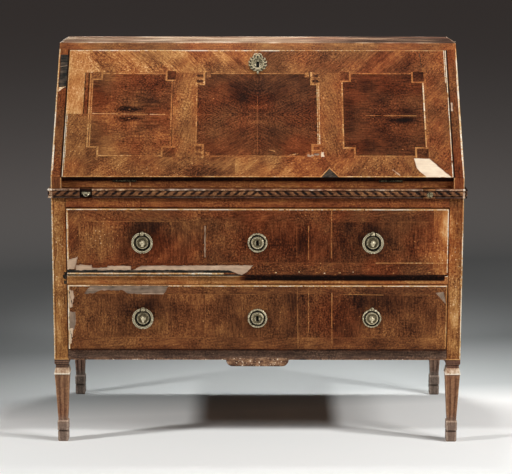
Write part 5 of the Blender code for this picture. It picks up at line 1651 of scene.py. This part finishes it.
def fillet_wear_and_shade(graph, x, y, z):
    """The upper fillet is rubbed nearly white, the lower one keeps its dirt, and the front corners are worn. The
    recess behind the rope and the right return beyond the corner are painted dark as shade."""
    uneven = graph.noise(graph.vector(x * 60, y * 60, z * 30), 4, 0.65)
    upper = graph.step(z + uneven * 0.004, ROPE_MIDDLE + 0.0080, ROPE_MIDDLE + 0.0100)
    # The recess behind the rope is painted dark as shade.
    middle = graph.below(abs(z - ROPE_MIDDLE), 0.0060, 0.0080)
    front_end = graph.below(y, -0.24, -0.225)
    corner = graph.step(abs(x), CORNER_X - 0.005, CORNER_X - 0.003) * front_end
    # Beyond the right corner the return is painted dark as shade.
    right_return_shade = graph.step(x, CORNER_X + 0.0012, CORNER_X + 0.0022)
    return upper * (0.30 + uneven * 1.7) - middle * 0.10 + corner * (1 - right_return_shade) * 0.55 - right_return_shade * 0.50


def fillet_dust(graph, x, y, z):
    return 0.30 + graph.step(graph.noise(graph.vector(x * 14, y * 14, 2.0), 3), -0.10, 0.15) * 0.45


FILLET_WALNUT = solid_walnut("fillet_walnut", "X", 0.22, extra=fillet_wear_and_shade, dust=fillet_dust)
fillet_piece = gather("rope_fillets", fillets, FILLET_WALNUT, smooth=False)
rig.ride(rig.slot(fillet_piece, "walnut"), "case")
facing_low, facing_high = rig.box("right_loper")
facing_ends = (facing_low.x + FACING_GAP, facing_high.x - FACING_GAP)
facing_runs = [
    rope_run(*facing_ends, -1, front),
    fillet_run([((x, ROPE_FACE, ROPE_MIDDLE), (0, -0.9, 0)) for x in facing_ends]),
]
loper_facing = gather("right_loper_facing", facing_runs, ROPE_WALNUT)
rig.ride(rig.slot(loper_facing, "walnut"), "right_loper_body")
print("rope", len(rope_front.data.polygons), "faces along the front")

# %% [markdown]
# ## Brass mounts
# Each ring is cast as a laurel wreath, the key plates have beaded rims, and the fall's key plate is a wreath
# tied with a bow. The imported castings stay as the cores. One tree sets small rounded leaves or beads round an
# oval; a leaf with equal sizes and no tilt is a bead.


# %% Wreath tree
def wreath_tree(finish):
    sizes = (
        "Half Width", "Half Height", "Start", "Sweep", "Count", "Stagger", "Tilt", "Length", "Width", "Thick",
    )
    tree, graph, size = new_tree("wreath", sizes)
    points = graph.node("GeometryNodePoints", inputs={"Count": size["Count"]})
    number = graph.node("GeometryNodeInputIndex")
    side = number.maths("MODULO", number, 2.0) * 2 - 1
    angle = size["Start"] + size["Sweep"] * (number + 0.5) / size["Count"]
    away = side * size["Stagger"]
    across = angle.maths("COSINE", angle)
    up = angle.maths("SINE", angle)
    spot = graph.vector(across * (size["Half Width"] + away), up * (size["Half Height"] + away), 0.0)
    set_out = graph.node("GeometryNodeSetPosition", inputs={"Geometry": points, "Position": spot})
    ball = graph.node("GeometryNodeMeshUVSphere", inputs={"Segments": 8, "Rings": 5, "Radius": 0.5})
    height = graph.parts(graph.node("GeometryNodeInputPosition"))[2] * 2
    marked = graph.node("GeometryNodeStoreNamedAttribute", {"data_type": "FLOAT", "domain": "POINT"},
                        {"Geometry": ball, "Name": "high", "Value": height})
    leaf_size = graph.vector(size["Length"], size["Width"], size["Thick"])
    leaf = graph.node("GeometryNodeTransform", inputs={"Geometry": marked, "Scale": leaf_size})
    turn = graph.vector(0.0, 0.0, angle + math.pi / 2 - side * size["Tilt"])
    inputs = {"Points": set_out, "Instance": leaf, "Rotation": turn}
    placed = graph.node("GeometryNodeInstanceOnPoints", inputs=inputs)
    close_tree(graph, placed, finish)
    return tree


WREATH = wreath_tree(RELIEF)
UPRIGHT = Matrix.Rotation(math.pi / 2, 4, "X")


def wreath(place, half, start, sweep, count, stagger, tilt, leaf):
    length, width, thick = leaf
    return grow(WREATH, place, **{
        "Half Width": half[0], "Half Height": half[1], "Start": start, "Sweep": sweep, "Count": count,
        "Stagger": stagger, "Tilt": tilt, "Length": length, "Width": width, "Thick": thick})


def bead_ring(seat, lift, radius, count, bead, tilt=0.0):
    """Closed ring of beads or leaves round a plate."""
    lifted = seat @ Matrix.Translation((0, 0, lift))
    return wreath(lifted, (radius, radius), 0, 2 * math.pi, count, 0, tilt, bead)


def casting(name, meshes, body, finish=RELIEF):
    piece = gather(name, meshes, finish)
    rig.ride(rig.slot(piece, "brass"), body)
    return piece


# %% Rings, plates and their ornament
def middle_of(node):
    low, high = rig.box(node)
    return (low + high) / 2, low, high


def turned_mesh(profile, place, steps=20):
    """Mesh turned round the local Y axis from pairs of a radius and a height."""
    shape = bmesh.new()
    high = shape.verts.layers.float.new("high")
    rings = []
    for radius, height in profile:
        turns = [2 * math.pi * step / steps for step in range(steps)]
        rings.append([shape.verts.new((radius * math.cos(t), height, radius * math.sin(t))) for t in turns])
        for turn, vert in zip(turns, rings[-1]):
            vert[high] = 0.3 + 0.7 * math.sin(turn)
    loft(shape, rings)
    for ring in (rings[0], rings[-1]):
        shape.faces.new(ring)
    bmesh.ops.recalc_face_normals(shape, faces=shape.faces)
    shape.transform(place)
    return as_mesh("turned", shape)


URN = [
    (0.0030, -0.0075), (0.0034, -0.0066), (0.0014, -0.0056), (0.0018, -0.0040), (0.0042, -0.0010),
    (0.0048, 0.0016), (0.0040, 0.0030), (0.0044, 0.0036), (0.0022, 0.0046), (0.0016, 0.0060),
    (0.0007, 0.0082),
]
for drawer in ("upper", "lower"):
    for side in ("left", "right"):
        plate = f"{drawer}_{side}_pull_plate"
        centre, low, high = middle_of(plate)
        middle_z = low.z + 0.025
        seat = Matrix.Translation((centre.x, high.y, middle_z)) @ UPRIGHT
        flattened = Matrix.Translation((0, -0.0025, 0.0052)) @ Matrix.Diagonal((1.15, 1, 0.7, 1))
        urn = turned_mesh(URN, seat @ flattened)
        rim = bead_ring(seat, 0.0040, 0.0152, 36, (0.0026, 0.0026, 0.0024))
        outer_rim = bead_ring(seat, 0.0022, 0.0236, 48, (0.0032, 0.0020, 0.0016), 0.5)
        casting(f"{plate}_ornament", [urn, rim, outer_rim], f"{drawer}_drawer")
    centre, low, high = middle_of(f"{drawer}_drawer_key_plate")
    seat = Matrix.Translation((centre.x, high.y, centre.z)) @ UPRIGHT
    rim = bead_ring(seat, 0.0024, 0.0240, 40, (0.0033, 0.0033, 0.0022))
    boss = bead_ring(seat, 0.0050, 0.0135, 30, (0.0030, 0.0016, 0.0018), 0.6)
    casting(f"{drawer}_key_plate_ornament", [rim, boss], f"{drawer}_drawer")
for ring in ("upper_left", "upper_right", "lower_left"):
    centre, low, high = middle_of(f"{ring}_ring")
    hang = Matrix.Translation((centre.x, centre.y, low.z + 0.0285)) @ UPRIGHT
    gap = math.radians(17)
    meshes = []
    for start, sweep, tilt in ((-math.pi / 2, math.pi - gap, 0.5), (-math.pi / 2, gap - math.pi, -0.5)):
        lifted = hang @ Matrix.Translation((0, 0, 0.0012))
        leaf = (0.0056, 0.0028, 0.0030)
        meshes.append(wreath(lifted, (0.0254, 0.0254), start, sweep, 36, 0.0016, tilt, leaf))
    casting(f"{ring}_ring_leaves", meshes, f"{ring}_ring_body")
lean_back = Matrix.Rotation(math.atan2(UP_SLOPE.z, UP_SLOPE.y), 4, "X")
on_key = Matrix.Translation(on_fall(0.0, FALL_KEY_UP, SHEET_THICK + 0.0003)) @ lean_back
meshes = []
for start, sweep, tilt in ((-math.pi / 2, math.pi, 0.55), (-math.pi / 2, -math.pi, -0.55)):
    for lift, stagger, count, leaf in (
        (0.0040, 0.0036, 14, (0.0118, 0.0052, 0.0040)),
        (0.0054, 0.0, 7, (0.0052, 0.0048, 0.0034)),
    ):
        lifted = on_key @ Matrix.Translation((0, 0, lift))
        meshes.append(wreath(lifted, (0.0190, 0.0215), start, sweep, count, stagger, tilt, leaf))
DROP = [
    (0.0006, -0.0350), (0.0022, -0.0325), (0.0030, -0.0300), (0.0020, -0.0270), (0.0034, -0.0250),
    (0.0012, -0.0235),
]
meshes.append(turned_mesh(DROP, on_key @ Matrix.Translation((0, 0, 0.0022)) @ Matrix.Diagonal((1, 1, 0.7, 1))))
casting("fall_wreath_leaves", meshes, "fall", aged_brass("wreath_brass", high="high", dirt=0.55))
print("brass ornament set")

# %% [markdown]
# ## Studio
# The floor's colour carries painted light: it is pale close to the desk, like a pool of light, falls to a
# cooler grey behind it, and is a little paler again far off, to make up for the lamps' fading light. Two soft
# lamps stand low at the left and right, so that the legs throw shadows towards the middle, a wide one hangs at
# the front right, and a weak one behind lights the floor under the desk.


# %% Floor, lamps and world
def floor_finish():
    material, graph = new_finish("studio_floor")
    x, y, _ = graph.parts(graph.place())
    away = (y - x * 0.15).most(-0.6)
    share = (away + 0.6) / (away + 2.6)
    # Painted light: the greys follow the lamps' pool of light near the desk and make up for its fall-off far away, and
    # the tint is cooler where the floor is grey.
    painted_light_greys = ((0.0, 248), (0.25, 246), (0.30, 190), (0.42, 114), (0.58, 112), (0.83, 214), (0.92, 224))
    stops = []
    for place, grey in painted_light_greys:
        warm = max(0.0, place - 0.6) * 0.25 - (0.02 if 0.25 < place < 0.5 else 0.0)
        stops.append((place, srgb(grey * (1 + warm), grey, grey * (0.99 - warm / 3))))
    shade(graph, graph.ramp(share, stops), 0.7, graph.noise(graph.vector(x, y, 0.0)), 0.0, specular=0.1)
    return material


shape = bmesh.new()
bmesh.ops.create_grid(shape, x_segments=8, y_segments=8, size=60.0)
floor = finished("studio_floor", shape, floor_finish())
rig.stage(floor)


def lamp(name, place, aim, size, power, spread=180):
    light = bpy.data.lights.new(name, "AREA")
    light.shape = "DISK"
    light.size = size
    light.energy = power
    light.spread = math.radians(spread)
    holder = bpy.data.objects.new(name, light)
    holder.location = place
    holder.rotation_euler = (Vector(aim) - Vector(place)).to_track_quat("-Z", "Y").to_euler()
    bpy.context.scene.collection.objects.link(holder)


lamp("left_lamp", (-3.40, -1.30, 2.00), (0.0, 0.0, 0.3), 0.30, 100)
lamp("right_lamp", (3.40, -1.30, 2.28), (0.0, 0.0, 0.3), 0.30, 100)
lamp("front_lamp", (2.90, -1.90, 2.65), (0.0, -0.1, 0.4), 1.1, 59)
lamp("back_lamp", (0.05, 0.75, 3.6), (0.05, 0.60, 0.0), 0.5, 7, 40)
world = bpy.data.worlds.new("studio")
world.use_nodes = True
world.node_tree.nodes["Background"].inputs["Color"].default_value = srgb(152, 150, 150)
world.node_tree.nodes["Background"].inputs["Strength"].default_value = 0.11
bpy.context.scene.world = world
bpy.context.scene.view_settings.view_transform = "Standard"

# %% [markdown]
# ## Camera
# The photograph's camera was worked out from the corners of the case: it stands 4.8 m away, a little above
# the top, looks down by ten and a half degrees, and has a long lens.

# %% Camera
IMAGE_WIDTH = 512
FOCAL_PIXELS = 1759.5
CAMERA_PLACE = (-0.001, -4.825, 1.4193)
TURN, LOOK_DOWN, ROLL = 0.00066, 0.18416, 0.00117
camera = bpy.data.cameras.new("camera")
camera.sensor_width = 36.0
camera.lens = FOCAL_PIXELS * camera.sensor_width / IMAGE_WIDTH
viewer = bpy.data.objects.new("camera", camera)
tilt = Matrix.Rotation(math.pi / 2 - LOOK_DOWN, 4, "X")
aim = Matrix.Rotation(TURN, 4, "Z") @ tilt @ Matrix.Rotation(ROLL, 4, "Z")
viewer.matrix_world = Matrix.Translation(CAMERA_PLACE) @ aim
bpy.context.scene.collection.objects.link(viewer)
bpy.context.scene.camera = viewer
print("lens", round(camera.lens, 2), "mm")

# %% [markdown]
# ## The imported box and the box of the dressed object are written down side by side.
# The dressed object has to stay in the imported box, so both boxes are written down side by side.

# %% Size
low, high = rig.bounds()
sizes = {"cad": [list(CAD_LOW), list(CAD_HIGH)], "visual": [list(low), list(high)]}
with open("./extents.json", "w") as file:
    json.dump(sizes, file)
print("visual box", [round(b - a, 4) for a, b in zip(low, high)])
